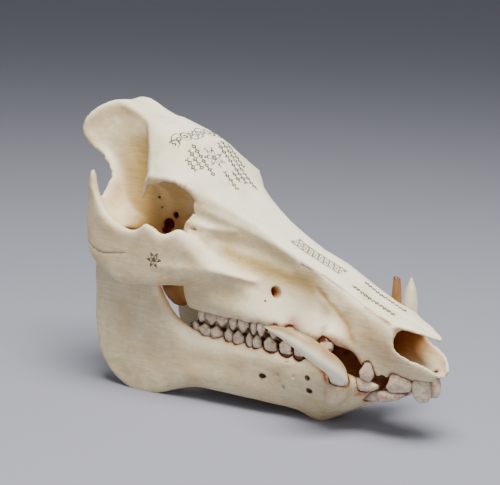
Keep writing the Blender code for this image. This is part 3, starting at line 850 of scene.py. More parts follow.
def settled(body: Piece) -> Form:
    """The form that an object's modifiers leave.

    Args:
        body: The object, which is used up.

    Returns:
        The form.
    """
    bpy.context.view_layer.update()
    form = bmesh.new()
    mesh = bpy.data.meshes.new_from_object(body.evaluated_get(bpy.context.evaluated_depsgraph_get()))
    form.from_mesh(mesh)
    bpy.data.meshes.remove(mesh)
    bpy.data.objects.remove(body)
    return form


def grown(forms: Iterable[Form], voxel: float, steps: int = 0) -> Form:
    """Overlapping forms grown into one closed body.

    Args:
        forms: The forms, which are used up.
        voxel: Grid size in millimetres.
        steps: How often the body is softened.

    Returns:
        The body.
    """
    whole = bmesh.new()
    for form in forms:
        part = as_mesh("part", form)
        whole.from_mesh(part)
        bpy.data.meshes.remove(part)
    body = put("growing", as_mesh("growing", whole))
    remesh = body.modifiers.new("grow_together", "REMESH")
    remesh.mode = "VOXEL"
    remesh.voxel_size = voxel * MM
    if steps:
        soften = body.modifiers.new("soften", "SMOOTH")
        soften.factor = 0.5
        soften.iterations = steps
    return settled(body)


def carved(form: Form, cutters: Iterable[Form]) -> Form:
    """The form with each cutter taken out of it.

    Args:
        form: The form, which is used up.
        cutters: The cutters, which are used up too.

    Returns:
        What is left.
    """
    body = put("carving", as_mesh("carving", form))
    knives = [put("knife", as_mesh("knife", cutter)) for cutter in cutters]
    for knife in knives:
        cut = body.modifiers.new("cut", "BOOLEAN")
        cut.operation = "DIFFERENCE"
        cut.solver = "MANIFOLD"
        cut.object = knife
    left = settled(body)
    for knife in knives:
        bpy.data.objects.remove(knife)
    return left


def millimetres(form: Form) -> np.ndarray:
    """The vertices of a form in millimetres from the back of the crest."""
    return np.array([vert.co for vert in form.verts]) / MM + (CREST_TO_ORIGIN, 0, 0)


def distance_to(points: np.ndarray, path: Path, side: Side = Side.BOTH) -> np.ndarray:
    """Distance of points from a line that is given for the left side.

    Args:
        points: The points.
        path: The line's points, or a single one.
        side: Where the line stands; it is endlessly far from the other side.

    Returns:
        The distance of each point.
    """
    folded = np.column_stack([points[:, 0], np.abs(points[:, 1]), points[:, 2]])
    line = np.asarray(path, float)
    best = np.full(len(points), np.inf)
    for start, end in zip(line, line[1:] if len(line) > 1 else line):
        along = end - start
        share = np.clip((folded - start) @ along / max(along @ along, 1e-9), 0, 1)
        best = np.minimum(best, np.linalg.norm(folded - start - share[:, None] * along, axis=1))
    best[points[:, 1] * side.value < 0] = np.inf
    return best


def paint(mesh: bpy.types.Mesh, name: str, values: np.ndarray) -> None:
    """Stores a number or a vector for each vertex, which a finish reads by its name."""
    kind, field = ("FLOAT", "value") if values.ndim == 1 else ("FLOAT_VECTOR", "vector")
    mesh.attributes.new(name, kind, "POINT").data.foreach_set(field, values.astype(np.float32).ravel())


def shown(mesh: bpy.types.Mesh, node: str, slot: Slot, finish: Finish) -> Piece:
    """A piece of the skull, which stands for its node and rides on the one body.

    Args:
        mesh: Its mesh.
        node: The node that it replaces.
        slot: Its material slot; not used.
        finish: Its finish.

    Returns:
        The finished piece.
    """
    mesh.materials.append(finish.make())
    piece = put(mesh.name, mesh)
    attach(piece, BODY)
    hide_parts(node)
    return piece


@dataclass(frozen=True)
class Stroke:
    """A ridge, groove or pit: how far the bone moves along its normal near a path, in millimetres."""

    path: Path
    width: float
    height: float
    side: Side = Side.BOTH
    along: Row | None = None


@dataclass(frozen=True)
class Stain:
    """A patch of a mask near a path, strongest on the path itself."""

    mask: Mask
    path: Path
    width: float
    strength: float = 1.0
    side: Side = Side.BOTH
    power: float = 2.0


class Bone:
    """A grown bone under the tools that shape its surface and paint its masks."""

    def __init__(self, form: Form) -> None:
        """Takes over a form.

        Args:
            form: What the bone grew to.
        """
        self.form = form
        bmesh.ops.triangulate(form, faces=form.faces)
        self.paint: dict[Mask, np.ndarray] = {}

    def surface(self) -> tuple[np.ndarray, np.ndarray]:
        """All vertices in millimetres, and the unit normal at each."""
        self.form.normal_update()
        return millimetres(self.form), np.array([vert.normal for vert in self.form.verts])

    def move(self, moved: np.ndarray) -> None:
        """Puts the vertices at these points, in millimetres."""
        for vert, (x, y, z) in zip(self.form.verts, moved):
            vert.co = place(x, y, z)

    def refine(self, strokes: Iterable[Stroke], length: float) -> None:
        """Cuts the edges near fine strokes until they are short enough for them.

        Args:
            strokes: The strokes.
            length: The longest edge that stays, in millimetres.
        """
        for _ in range(3):
            points = millimetres(self.form)
            close = np.zeros(len(points), bool)
            for stroke in strokes:
                close |= distance_to(points, stroke.path, stroke.side) < 2.4 * stroke.width
            self.form.verts.index_update()
            near = [edge for edge in self.form.edges if all(close[vert.index] for vert in edge.verts)]
            long = [edge for edge in near if edge.calc_length() > length * MM]
            if not long:
                return
            bmesh.ops.subdivide_edges(self.form, edges=long, cuts=1, use_grid_fill=False)
            bmesh.ops.triangulate(self.form, faces=[face for face in self.form.faces if len(face.verts) > 3])

    def shape(self, strokes: Iterable[Stroke]) -> None:
        """Raises and sinks the surface.

        Args:
            strokes: Where, and how far.
        """
        points, normals = self.surface()
        moved = points.copy()
        for stroke in strokes:
            share = np.exp(-((distance_to(points, stroke.path, stroke.side) / stroke.width) ** 2))
            push = normals
            if stroke.along is not None:
                push = np.tile(np.asarray(stroke.along, float), (len(points), 1))
                push[:, 1] *= np.sign(points[:, 1])
            moved += stroke.height * share[:, None] * push
        self.move(moved)

    def roughen(self, size: float, height: float) -> None:
        """Makes the surface uneven, as living bone is.

        Args:
            size: Length of the swells, in millimetres.
            height: How far they stand out, in millimetres.
        """
        points, normals = self.surface()
        swell = np.array([noise.noise(Vector(point) / size) for point in points])
        self.move(points + height * swell[:, None] * normals)

    def enclose(
        self, tree: BVHTree, reach: float = 55.0, rays: int = 48, lift: float = 0.0006, flat: float = 0.12
    ) -> None:
        """Paints how shut in each place is, from rays that meet other bone, for fat and painted shade.

        Args:
            tree: All bones and teeth.
            reach: How far a ray looks, in millimetres.
            rays: How many directions are tried round each place.
            lift: How far off the bone a ray starts, in metres.
            flat: Rays that lean away from the surface by a smaller cosine than this are left out.
        """
        turn = math.pi * (3 - math.sqrt(5))
        fan = []
        for i in range(rays):
            height = 1 - 2 * (i + 0.5) / rays
            level = math.sqrt(1 - height * height)
            fan.append(Vector((level * math.cos(turn * i), level * math.sin(turn * i), height)))
        self.form.normal_update()
        shut = np.zeros(len(self.form.verts))
        for index, vert in enumerate(self.form.verts):
            start = vert.co + vert.normal * lift
            tried = met = 0.0
            for way in fan:
                lean = way.dot(vert.normal)
                if lean > flat:
                    tried += lean
                    if tree.ray_cast(start, way, reach * MM)[0] is not None:
                        met += lean
            shut[index] = met / tried
        self.paint[Mask.HOLLOW] = self.soften(shut, 3)

    def soften(self, values: np.ndarray, steps: int) -> np.ndarray:
        """Spreads the values of a mask a little over the surface.

        Args:
            values: The mask.
            steps: How often.

        Returns:
            The softer mask.
        """
        self.form.verts.index_update()
        ends = np.array([[vert.index for vert in edge.verts] for edge in self.form.edges])
        degree = np.bincount(ends.ravel(), minlength=len(values))
        for _ in range(steps):
            sums = np.bincount(ends[:, 0], values[ends[:, 1]], len(values))
            sums += np.bincount(ends[:, 1], values[ends[:, 0]], len(values))
            values = 0.5 * values + 0.5 * sums / np.maximum(degree, 1)
        return values

    def mark(self, mask: Mask, share: np.ndarray) -> None:
        """Paints a mask where it is stronger than what lies there."""
        self.paint[mask] = np.maximum(self.paint.get(mask, 0.0), share)

    def stain(self, stains: Iterable[Stain]) -> None:
        """Paints patches.

        Args:
            stains: The patches.
        """
        points = millimetres(self.form)
        for stain in stains:
            away = distance_to(points, stain.path, stain.side)
            self.mark(stain.mask, stain.strength * np.exp(-((away / stain.width) ** stain.power)))

    def stain_sockets(self, tree: BVHTree, reach: float) -> None:
        """Darkens the bone next to the teeth, and sinks it a little there.

        Args:
            tree: The teeth.
            reach: Width of the stain, in millimetres.
        """
        points, normals = self.surface()
        share = np.zeros(len(points))
        for index, vert in enumerate(self.form.verts):
            found = tree.find_nearest(vert.co, 4 * reach * MM)
            if found[0] is not None:
                share[index] = math.exp(-((found[3] / MM / reach) ** 2))
        self.mark(Mask.SEAM, 0.85 * share**2)
        self.mark(Mask.RUST, 0.8 * share**0.6)
        self.move(points - 0.5 * share[:, None] * normals)

    def painted_toplight(self) -> None:
        """Paints where the bone faces up and lies open, as painted top light laid on in near white."""
        upward = np.clip((self.surface()[1][:, 2] - 0.1) / 0.7, 0, 1)
        open_air = np.clip(1.2 - 2.2 * self.paint[Mask.HOLLOW], 0, 1)
        self.paint[Mask.PAINTED_TOPLIGHT] = self.soften(upward * open_air, 2)

    def lay_drawing(self) -> np.ndarray:
        """Where each vertex lies on the flattened top of the skull.

        Returns:
            For each vertex its way along the top from the crest, its y, and one where ornament may be.
        """
        points, normals = self.surface()
        step, half_width, depth = 4.0, 12.0, 16.0
        stations = np.arange(20.0, 318.0, step)
        middle = np.abs(points[:, 1]) < half_width
        ridge = [points[(np.abs(points[:, 0] - x) < step) & middle, 2] for x in stations]
        heights = np.array([piece.max() if len(piece) else 50.0 for piece in ridge])
        way = np.concatenate([[0.0], np.cumsum(np.hypot(np.diff(stations), np.diff(heights)))])
        top = np.interp(points[:, 0], stations, heights)
        on_top = (points[:, 2] > top - depth) & (normals[:, 2] > 0.3)
        return np.column_stack([np.interp(points[:, 0], stations, way), points[:, 1], on_top.astype(float)])

    def dressed(self, node: str, finish: Finish) -> Piece:
        """The piece that is shown, with its masks.

        Args:
            node: Its node.
            finish: Its finish.

        Returns:
            The finished piece.
        """
        drawing = self.lay_drawing()
        mesh = as_mesh(node + "_bone", self.form)
        for mask in Mask:
            paint(mesh, mask.value, self.paint.get(mask, np.zeros(len(drawing))))
        paint(mesh, "drawing", drawing)
        return shown(mesh, node, Slot.BONE, finish)


@dataclass(frozen=True)
class GrownBone:
    """A bone that grows from overlapping forms, and is then worked by strokes, holes and stains.

    A hole is a tube along a path of the left side, and has its mirror image on the right. Unevenness is
    the length and the height of its surface's swells.
    """

    node: str = ""
    finish: DryBone = DryBone("plain_dry_bone")
    voxel: float = 1.5
    softening: int = 6
    fineness: float = 0.7
    unevenness: Path = ((17.0, 0.45), (5.0, 0.16))
    swells: tuple[Stroke, ...] = ()
    holes: Outlines = ()
    lines: tuple[Stroke, ...] = ()
    stains: tuple[Stain, ...] = ()

    def forms(self) -> list[Form]:
        """What the bone grows from. Each bone has its own."""
        raise NotImplementedError

    def cutters(self) -> list[Form]:
        """What is cut from it besides its holes and sockets."""
        return []

    def build(self, sockets: list[Form]) -> Bone:
        """Grows and works the bone.

        Args:
            sockets: The room that its teeth need.

        Returns:
            The bone, ready to be dressed.
        """
        bone = Bone(grown(self.forms(), self.voxel, self.softening))
        bone.shape(self.swells)
        for size, height in self.unevenness:
            bone.roughen(size, height)
        holes = [form for way in self.holes for form in both(tube(way), 4, 2)]
        bone = Bone(carved(bone.form, holes + sockets + self.cutters()))
        bone.refine(self.lines, self.fineness)
        bone.shape(self.lines)
        bone.stain(self.stains)
        return bone


@dataclass(frozen=True)
class Cranium(GrownBone):
    """Everything above the mouth that grew as one bone.

    The vault is given as half outlines from the top midline to the base midline, and the face on upright
    sections. Rows are, for the nasal bones, (x, half width, top, edge height, thickness); for the hollows
    of the nose, of its back opening and of the brain, (x, half width, floor, roof); for the arch and the
    plate beside the nose's back, (x, outer y, thickness, bottom, top); for the arch's root, (y, back x,
    crest height, front x, front height, underside); for the snout's rim, (x, z). Bulges are the condyle
    and the ear capsule, pockets the eye socket and the cheek's hollow, each as a centre and its radii.
    """

    node: str = "cranium"
    finish: DryBone = DryBone("carved_dry_bone", ornament=Ornament())
    voxel: float = 1.7
    fineness: float = 0.75
    vault: Outlines = (
        ((24, 0, 201), (24, 5, 202), (21, 9, 202), (17, 13, 199), (17, 15, 193), (18, 16, 186),
         (24, 18, 177), (31, 21, 167), (36, 26, 156), (40, 29, 142), (42, 26, 124), (43, 18, 108),
         (44, 0, 104)),
        ((16, 0, 210), (16, 9, 211.3), (12, 15, 210.8), (4, 23, 204), (-1.5, 28, 195), (-1.2, 29.5, 187.5),
         (7, 28.5, 178), (20, 28, 170.5), (31, 32, 158), (36, 36, 146), (39, 34, 125), (41, 22, 103),
         (42, 0, 98)),
        ((14, 0, 212), (15.5, 11, 214.2), (13, 19, 213.6), (5, 27, 206), (0, 31.5, 196), (0.5, 33, 188),
         (8, 32, 178.5), (20, 31.5, 172), (31, 35, 160), (35, 40, 148), (38, 38, 125), (40, 24, 101),
         (41, 0, 95)),
        ((27, 0, 214), (28, 9, 214.6), (27, 16, 213.4), (20, 18.5, 203), (15, 22, 194), (16, 24.5, 186),
         (22, 25, 177), (31, 26.5, 167), (40, 29, 155), (44, 32, 141), (47, 33, 124), (49, 24, 101),
         (50, 0, 94)),
        ((40, 0, 209), (40, 9, 209.5), (40, 16, 208), (36, 17, 202), (34, 19, 194), (35, 21, 186),
         (38, 23.5, 176), (43, 26, 166), (49, 28.5, 154), (52, 31.5, 139), (54, 33, 122), (56, 23, 100),
         (57, 0, 94)),
        ((53, 0, 205), (53, 9, 205), (53, 17, 202.5), (52, 18.5, 197), (52, 20, 190), (52, 21, 183),
         (54, 23, 174), (57, 26, 163), (60, 28.5, 151), (62, 31, 137), (63, 32, 121), (64, 22, 100),
         (64, 0, 94)),
        ((63, 0, 203.5), (63, 12, 203.5), (62, 22, 198.5), (62, 27, 187.5), (63, 26, 178), (64, 25, 172),
         (65, 25, 166), (67, 26, 157), (69, 28, 147), (70, 30, 134), (71, 30, 119), (72, 21, 100),
         (72, 0, 95)),
        ((73, 0, 200), (73, 16, 199.5), (73, 31, 186), (73, 40, 172), (74, 38.5, 165), (75, 32, 161),
         (76, 27, 156), (77, 25, 149), (78, 26, 141), (78, 27, 130), (79, 27, 117), (79, 20, 101),
         (79, 0, 96)),
        ((84, 0, 196), (84, 19, 194.8), (84, 36, 182.5), (84, 48, 167.5), (84, 48, 161), (84, 38, 157.5),
         (84, 29, 153), (84, 25, 146), (85, 24, 139), (85, 24, 129), (85, 24, 117), (86, 19, 103),
         (86, 0, 97)),
        ((98, 0, 188.5), (98, 20, 188), (98, 36, 178.5), (98, 48.5, 167.5), (98, 48, 162), (98, 38, 157),
         (98, 29, 151), (98, 24, 143), (98, 22, 135), (98, 21, 127), (97, 20, 117), (96, 16, 105),
         (96, 0, 98)),
        ((112, 0, 175.5), (112, 18, 175), (112, 33, 170), (112, 44, 165), (112, 44, 160), (112, 36, 154),
         (112, 29, 147), (111, 24, 140), (110, 21, 133), (109, 20, 125), (108, 19, 117), (106, 15, 107),
         (106, 0, 100)),
        ((126, 0, 163), (126, 16, 162.5), (126, 28, 159), (126, 36, 154), (126, 36, 149), (125, 32, 143),
         (124, 28, 137), (122, 25, 131), (120, 22, 125), (119, 20, 120), (118, 18, 115), (116, 13, 108),
         (116, 0, 103)),
    )
    face: Sections = (
        (113, ((0, 172), (20, 172), (40, 165), (42, 150), (45, 130), (46, 112), (44, 92), (38, 71),
         (18, 67), (0, 74))),
        (126, ((0, 162), (18, 161), (34, 156), (37, 143), (42, 125), (46, 110), (44, 92), (38, 69),
         (18, 65), (0, 73))),
        (140, ((0, 152), (15, 152), (28, 148), (31, 134), (36, 118), (44, 105), (42, 88), (38, 69),
         (18, 65), (0, 74))),
        (158, ((0, 142), (12, 141), (22, 139), (24, 126), (28, 112), (36, 100), (37, 84), (38, 69),
         (18, 65), (0, 75))),
        (176, ((0, 132), (10, 132), (19, 130), (20, 119), (22, 106), (26, 93), (34, 80), (37, 69),
         (19, 65), (0, 75))),
        (194, ((0, 123), (10, 123), (18, 121), (19, 112), (20, 100), (23, 88), (30, 77), (34, 69),
         (20, 66), (0, 74))),
        (210, ((0, 117), (10, 117), (18, 115), (19, 107), (20, 96), (22, 85), (27, 75), (30, 68), (20, 66),
         (0, 72))),
        (225, ((0, 112), (10, 112), (18, 110), (20, 103), (21, 93), (24, 83), (31, 74), (34, 67), (20, 64),
         (0, 70))),
        (240, ((0, 105), (10, 105), (18, 103), (20, 97), (22, 88), (25, 79), (32, 72), (33, 66), (18, 62),
         (0, 68))),
        (255, ((0, 98), (10, 98), (18, 96), (21, 91), (22, 84), (24, 75), (26, 69), (25, 62), (15, 59),
         (0, 63))),
        (270, ((0, 91), (10, 91), (18, 90), (21, 84), (22, 76), (22, 68), (21, 60), (19, 51), (12, 50),
         (0, 57))),
        (284, ((0, 85), (10, 85), (18, 85), (21, 79), (22, 72), (21, 64), (19, 55), (15, 46), (9, 47),
         (0, 53))),
        (294, ((0, 68), (10, 69), (19, 70), (22, 68), (21, 62), (19, 56), (16, 50), (12, 44), (6, 46),
         (0, 51))),
        (304, ((0, 62), (9, 63), (17, 64), (20, 63), (19, 57), (16, 52), (13, 47), (10, 44), (5, 46),
         (0, 50))),
        (312, ((0, 58), (6, 59.5), (11, 60.5), (14, 58.5), (14, 53), (12, 50), (9, 47), (7, 46), (3, 47),
         (0, 49))),
        (317, ((0, 52), (4, 55), (7, 56.5), (9.5, 54.5), (9.5, 51), (7, 49.5), (5, 48.5), (4, 47.5),
         (2, 47.5), (0, 48.5))),
    )
    nasals: Path = (
        (262, 18, 95.5, 93, 6), (275, 18, 90.5, 88.5, 5), (284, 18, 87, 85, 4.5), (292, 15, 84.5, 83.5, 4),
        (300, 11.5, 82, 81.5, 3.6), (308, 7, 79.2, 79, 3.4), (314.5, 2.4, 76.6, 76.6, 3),
    )
    hollows: Outlines = (
        (
            (196, 5, 90, 100), (215, 11, 82, 104), (240, 15, 74, 98), (262, 17, 64, 89.5),
            (276, 18.6, 58.5, 83.5), (286, 19.6, 56, 80), (294, 20, 54.5, 79), (304, 18.2, 52, 77),
            (311, 12.8, 48, 75), (318, 6.5, 44, 73), (332, 5.5, 41, 71),
        ),
        ((80, 12, 75, 98), (112, 12, 76, 99), (150, 8, 80, 94)),
        ((20, 9, 98, 114), (42, 9.5, 98.5, 115), (54, 12, 101, 121), (76, 14, 105, 130)),
    )
    arch: Path = (
        (31.5, 60.5, 4.5, 113, 146), (33.8, 61.5, 5, 107, 163), (37.2, 62.5, 6, 101, 166),
        (41, 63.2, 7, 97, 151), (49, 64, 8, 92, 139), (57, 64.5, 8, 89, 132.5), (65, 64.5, 8, 85.5, 129),
        (72, 64.5, 8, 84, 127), (79, 64, 8, 84.5, 127), (85, 63.8, 7.5, 85.5, 129), (91, 63.5, 7, 87, 133),
        (97, 62.5, 7.5, 87, 131), (104, 61.5, 8, 87.5, 127), (110, 60, 9, 87.5, 128),
        (117, 57.5, 10, 88, 132), (125, 54, 12, 88.5, 127), (133, 50.5, 13, 89, 119),
        (142, 46.5, 14, 93, 112), (152, 41.5, 13, 96, 107), (162, 36, 12, 96, 103), (172, 29, 8, 95, 100),
    )
    arch_root: Path = (
        (22, 33, 156, 70, 130, 112), (36, 31.5, 157, 66, 128, 116), (44, 33, 149.5, 63, 127, 119.5),
        (50, 34, 145.5, 61, 127, 121), (56, 34.5, 149, 59, 126, 120), (62, 34.5, 154, 57, 124, 116),
    )
    plate: Path = (
        (112, 21, 9, 72, 104), (104, 19.5, 6, 69, 104), (97, 18.5, 5, 65, 104), (90, 18, 5, 62, 102),
        (83, 17, 4.5, 62, 100), (77, 16.5, 4.2, 65, 98), (71, 16, 4, 70, 98), (64, 16, 3.4, 79, 97),
        (59, 16, 3, 87, 96),
    )
    process: Path = (
        (47, 28, 114, 7.5, 0.8), (44, 28.5, 104, 6, 0.8), (41, 28.5, 90, 5, 0.7), (38, 28.5, 76, 3.6, 0.7),
        (36, 28.5, 67, 2, 0.7),
    )
    brow: Path = (
        (86, 44, 167, 3.2, 0.8), (81, 46.5, 164.5, 3, 0.8), (78.5, 46.8, 159, 2.6, 0.8),
        (76.5, 46.4, 153, 2.1, 0.8), (75, 45.6, 147.5, 1.1, 0.8),
    )
    rim: Path = (
        (285, 84.5), (286.5, 77), (289.5, 68.5), (295, 65.8), (302, 63.2), (308, 60.6), (312.5, 58.2),
        (315.5, 55), (318, 51), (321, 46.5), (330, 43),
    )
    bulges: Outlines = (((35.5, 13.5, 100.5), (10, 7.5, 12)), ((63, 20, 93), (14, 7.5, 12)))
    pockets: Outlines = (((100.5, 43, 147), (19.5, 19, 17.8)), ((97, 41, 98), (18, 15, 27)))
    holes: Outlines = (
        ((190, 25.5, 92, 3.1, 1.55), (184.5, 22, 91, 3, 1.5), (175, 18.5, 90, 2)),
        ((183, 30.5, 84.6, 0.8), (179, 27, 84.8, 0.6)),
        ((116, 42.5, 143, 1.6), (122, 37, 142, 1.2)),
        ((119, 45, 131.4, 1.5), (125, 39, 130.6, 1.1)),
        ((85, 28, 127, 4.4, 1.2), (81, 21, 126.5, 4.1), (75, 13, 126, 2.5)),
        ((82.5, 28, 122, 3.6), (79, 21, 121.5, 3.2), (75, 15, 121, 2)),
        ((90, 27, 134.6, 2.5, 1.25), (87, 20, 134, 2.3), (83, 14, 133, 1.5)),
        ((74.6, 28, 146.7, 1.3), (73.5, 24, 146.5, 0.9)),
        ((78, 29, 139.5, 1.0), (76.5, 24.5, 139, 0.7)),
        ((124, 24.5, 160.5, 1.2), (119, 22, 157, 1)),
        ((272, 6, 47, 2, 2.2), (273, 6, 50, 2, 2), (274, 6, 53, 1.2)),
        ((142, 14, 63, 1.8), (136, 14, 70, 1.5), (130, 13, 76, 1)),
    )
    cheek_crack: Path = (
        (35, 62, 110), (44, 63.5, 107), (52.3, 64.3, 105.3), (63, 64.4, 107), (74.9, 64.4, 108.9),
    )
    nasal_seam: Path = (
        (205, 18.4, 114.5), (228, 18.2, 108), (242.6, 17.5, 101.8), (264.3, 17.6, 92.5), (283, 18.2, 84.6),
    )
    crease: Path = (
        (221.6, 20.2, 98.8), (238.6, 22.1, 87.5), (249.2, 24.1, 78.9), (255.2, 25.7, 69.4),
    )
    swells: tuple[Stroke, ...] = (
        Stroke(((27, 16, 211), (40, 16, 208), (53, 17.5, 202), (62, 24, 192), (72, 32, 181),
            (84, 47, 167)), 2.4, 0.8),
        Stroke(((84, 48, 165), (92, 49, 166), (98, 48.7, 166), (105, 47, 164.5), (112, 44, 163)), 2.6, 0.9),
        Stroke(((112, 44, 163), (119, 40, 158), (124, 38, 150), (122, 41, 144), (118, 44, 138)), 2.4, 0.8),
        Stroke(((118, 44, 138), (114, 51, 131), (107, 58, 127), (98, 62, 131), (91, 62.5, 133.5)),
            2.2, 0.6),
        Stroke(((104, 62, 103), (118, 58, 104), (133, 51, 104), (150, 44, 103), (165, 37, 101),
            (176, 32, 98.5)), 3.2, 0.8),
        Stroke(((14, 9, 210), (8, 22, 206), (0, 31, 198), (0, 31, 188), (8, 30, 178), (20, 30, 171)),
            3.0, 0.8),
        Stroke(((112, 56, 93), (126, 52, 92), (142, 45, 91), (160, 38, 88)), 6.5, -1.8),
        Stroke(((122, 41, 147), (142, 29.5, 139), (164, 21.8, 131), (194, 18.4, 121), (222, 18.3, 110)),
            2.6, 0.9),
        Stroke(((119, 44, 136), (126.5, 40, 133.5), (137, 34.5, 131.5), (150, 27.5, 131.5)), 2.4, 1.3),
        Stroke(((124, 40, 141), (133, 34.5, 137.5)), 4.0, -0.9),
        Stroke(((138, 34.5, 125.5), (155, 26.5, 122), (176, 20.5, 117), (194, 19, 112)), 5.0, -2.3),
        Stroke(((137, 36, 117), (160, 27, 109), (186, 21, 103), (206, 20, 98)), 7.5, -1.8),
        Stroke(((262, 19, 56), (268, 19.5, 51.5), (273, 19, 50)), 4.5, 5.0, along=(0.1, 0.0, -1.0)),
        Stroke(((282, 14.5, 48), (292, 13.5, 45)), 4.0, 2.4, along=(0.0, 0.0, -1.0)),
        Stroke(((234, 22, 90), (238, 27, 80), (240, 31, 72)), 5.5, 1.4),
        Stroke(((248, 23, 84), (252, 25, 74), (257, 25, 66)), 4.0, -0.9),
        Stroke(((44, 24, 180), (52, 24, 165), (58, 27, 150)), 7.0, -1.0),
        Stroke(((60, 65, 118), (80, 65, 116)), 8.0, -0.7),
        Stroke(((18, 0, 198), (24, 0, 180), (31, 0, 160)), 3.5, 1.2, Side.BOTH),
        Stroke(((40, 0, 210), (60, 0, 202), (80, 0, 194)), 6.0, -0.5),
        Stroke(((178, 10, 131), (210, 10, 117), (240, 10, 105)), 3.5, 0.4),
    )
    lines: tuple[Stroke, ...] = (
        Stroke(cheek_crack, 0.7, -0.5),
        Stroke(nasal_seam, 0.7, -0.55),
        Stroke(((252, 0, 100), (282, 0, 87.5), (314, 0, 76.6)), 0.75, -0.8),
        Stroke(crease, 2.2, -0.8),
        Stroke(((118.5, 43.5, 144), (116.5, 44, 143.8)), 1.6, -1.6),
        Stroke(((86, 47.5, 168), (92, 46, 164)), 0.8, -0.5, Side.RIGHT),
        Stroke(((35.5, 62.2, 110.2),), 1.4, -1.4, Side.RIGHT),
    )
    stains: tuple[Stain, ...] = (
        # Tan in the hollow of the temple and in the eye socket: partly the bone's colour, partly painted
        # shade
        Stain(Mask.TAN_AND_SHADE, ((50, 25, 176), (56, 27, 160), (62, 28, 148), (70, 28, 134), (66, 34, 118)),
            20.0, 0.95),
        Stain(Mask.TAN_AND_SHADE, ((96, 30, 152), (90, 32, 142), (88, 30, 130)), 15.0, 0.9),
        # Painted shade: under the facial crest, in the canine's crease, below the snout's top ridge and in
        # the deep gap beside the nose's back opening
        Stain(Mask.TAN_AND_SHADE, ((108, 60, 92), (124, 52, 90), (142, 46, 88), (158, 38, 84)), 5.5, 0.5),
        Stain(Mask.TAN_AND_SHADE, crease, 3.4, 0.75),
        Stain(Mask.TAN_AND_SHADE, ((146, 33, 118), (160, 28, 110.4), (180, 21.5, 105), (214, 20, 101)), 8.0, 0.9),
        Stain(Mask.TAN_AND_SHADE, ((92, 19, 70), (84, 18, 72), (76, 17, 78), (96, 20, 84)), 14.0, 0.9),
        # Rust deep in the eye socket round its holes, partly painted shade
        Stain(Mask.RUST, ((84, 26, 124), (90, 26, 133)), 5.5, 0.55),
        Stain(Mask.RUST, ((205, 18.4, 114.5), (242, 17.5, 101.8), (283, 18.2, 84.6)), 1.0, 0.55),
        Stain(Mask.RUST, ((250, 26.5, 65), (257, 24.5, 60), (262, 21.5, 54.5)), 1.5, 0.85),
        # Painted shade under the edges of the nasal bones
        Stain(Mask.TAN_AND_SHADE, ((262, 18, 92.5), (283, 18.5, 84.6)), 1.6, 0.8),
        # The next two are rust that is partly painted shade: inside the nose and beside its back opening
        Stain(Mask.RUST, ((250, 13, 78), (272, 13, 70), (284, 12, 64)), 9.0, 0.75),
        Stain(Mask.RUST, ((70, 17, 70), (84, 17, 63), (98, 18, 66)), 4.0, 0.4),
        Stain(Mask.RUST, ((232, 28, 70), (240, 31, 68.5), (246, 29, 68)), 1.6, 0.9, Side.RIGHT),
        Stain(Mask.BLUSH, ((206, 29, 75.5), (209, 29, 71)), 4.4, 0.95, Side.RIGHT),
        Stain(Mask.BLUSH, ((243, 33, 70), (250, 30, 66)), 3.0, 0.7),
        Stain(Mask.SEAM, cheek_crack, 0.63, 0.55),
        Stain(Mask.SEAM, nasal_seam, 0.63, 0.55),
    )

    def forms(self) -> list[Form]:
        """The block of vault and face with its hollows, and all that stands out from it.

        Returns:
            The forms.
        """
        vault = skin([half + tuple((x, -y, z) for x, y, z in half[-2:0:-1]) for half in self.vault])
        block = grown([vault, skin([across(x, half) for x, half in self.face])], self.voxel)
        hollows = [skin([oval(*row) for row in way]) for way in self.hollows]
        hollows += [form for pocket in self.pockets for form in balls(*pocket)]
        forms = [carved(block, hollows + [self.window_form()]), skin(self.nasal_rings(), 4, 3)]
        forms += both([blade(*row) for row in self.arch], 3, 3) + both(self.root_rings(), 4, 3)
        forms += [form for bulge in self.bulges for form in balls(*bulge)]
        forms += both([blade(*row) for row in self.plate], 3, 3)
        return forms + both(tube(self.process), 3, 2) + both(tube(self.brow), 3, 2)

    def nasal_rings(self) -> Rings:
        """Nasal bones, whose front ends stand free over the opening of the nose.

        Returns:
            Their outlines.
        """
        rings = []
        for x, half, top, edge, thick in self.nasals:
            inner = 0.6 * half
            upper = [(0, top), (inner, top - 0.25 * (top - edge)), (half, edge - 0.4 * thick)]
            rings.append(across(x, upper + [(inner, edge - 0.9 * thick), (0, top - thick)]))
        return rings

    def root_rings(self) -> Rings:
        """Root that carries the arch from the braincase, over the jaw joint.

        Returns:
            Its outlines.
        """
        rings = []
        for y, back, crest, front, front_top, under in self.arch_root:
            span, slope = front - back, front_top + 0.35 * (crest - front_top)
            behind = [(back, y, under + 4), (back - 0.5, y, 0.5 * (under + crest)), (back + 1, y, crest)]
            above = [(back + 0.18 * span, y, crest - 3.5), (back + 0.45 * span, y, slope)]
            below = [(front, y, front_top), (front, y, under + 2), (back + 0.5 * span, y, under)]
            rings.append(behind + above + below)
        return rings

    def window_form(self) -> Form:
        """What is cut from the snout's front so that its sides end in a rim under the nasal bones."""
        rings = [[(x, -30, z), (x, 30, z), (x, 30, 110), (x, -30, 110)] for x, z in self.rim]
        return skin(rings, 1, 1)


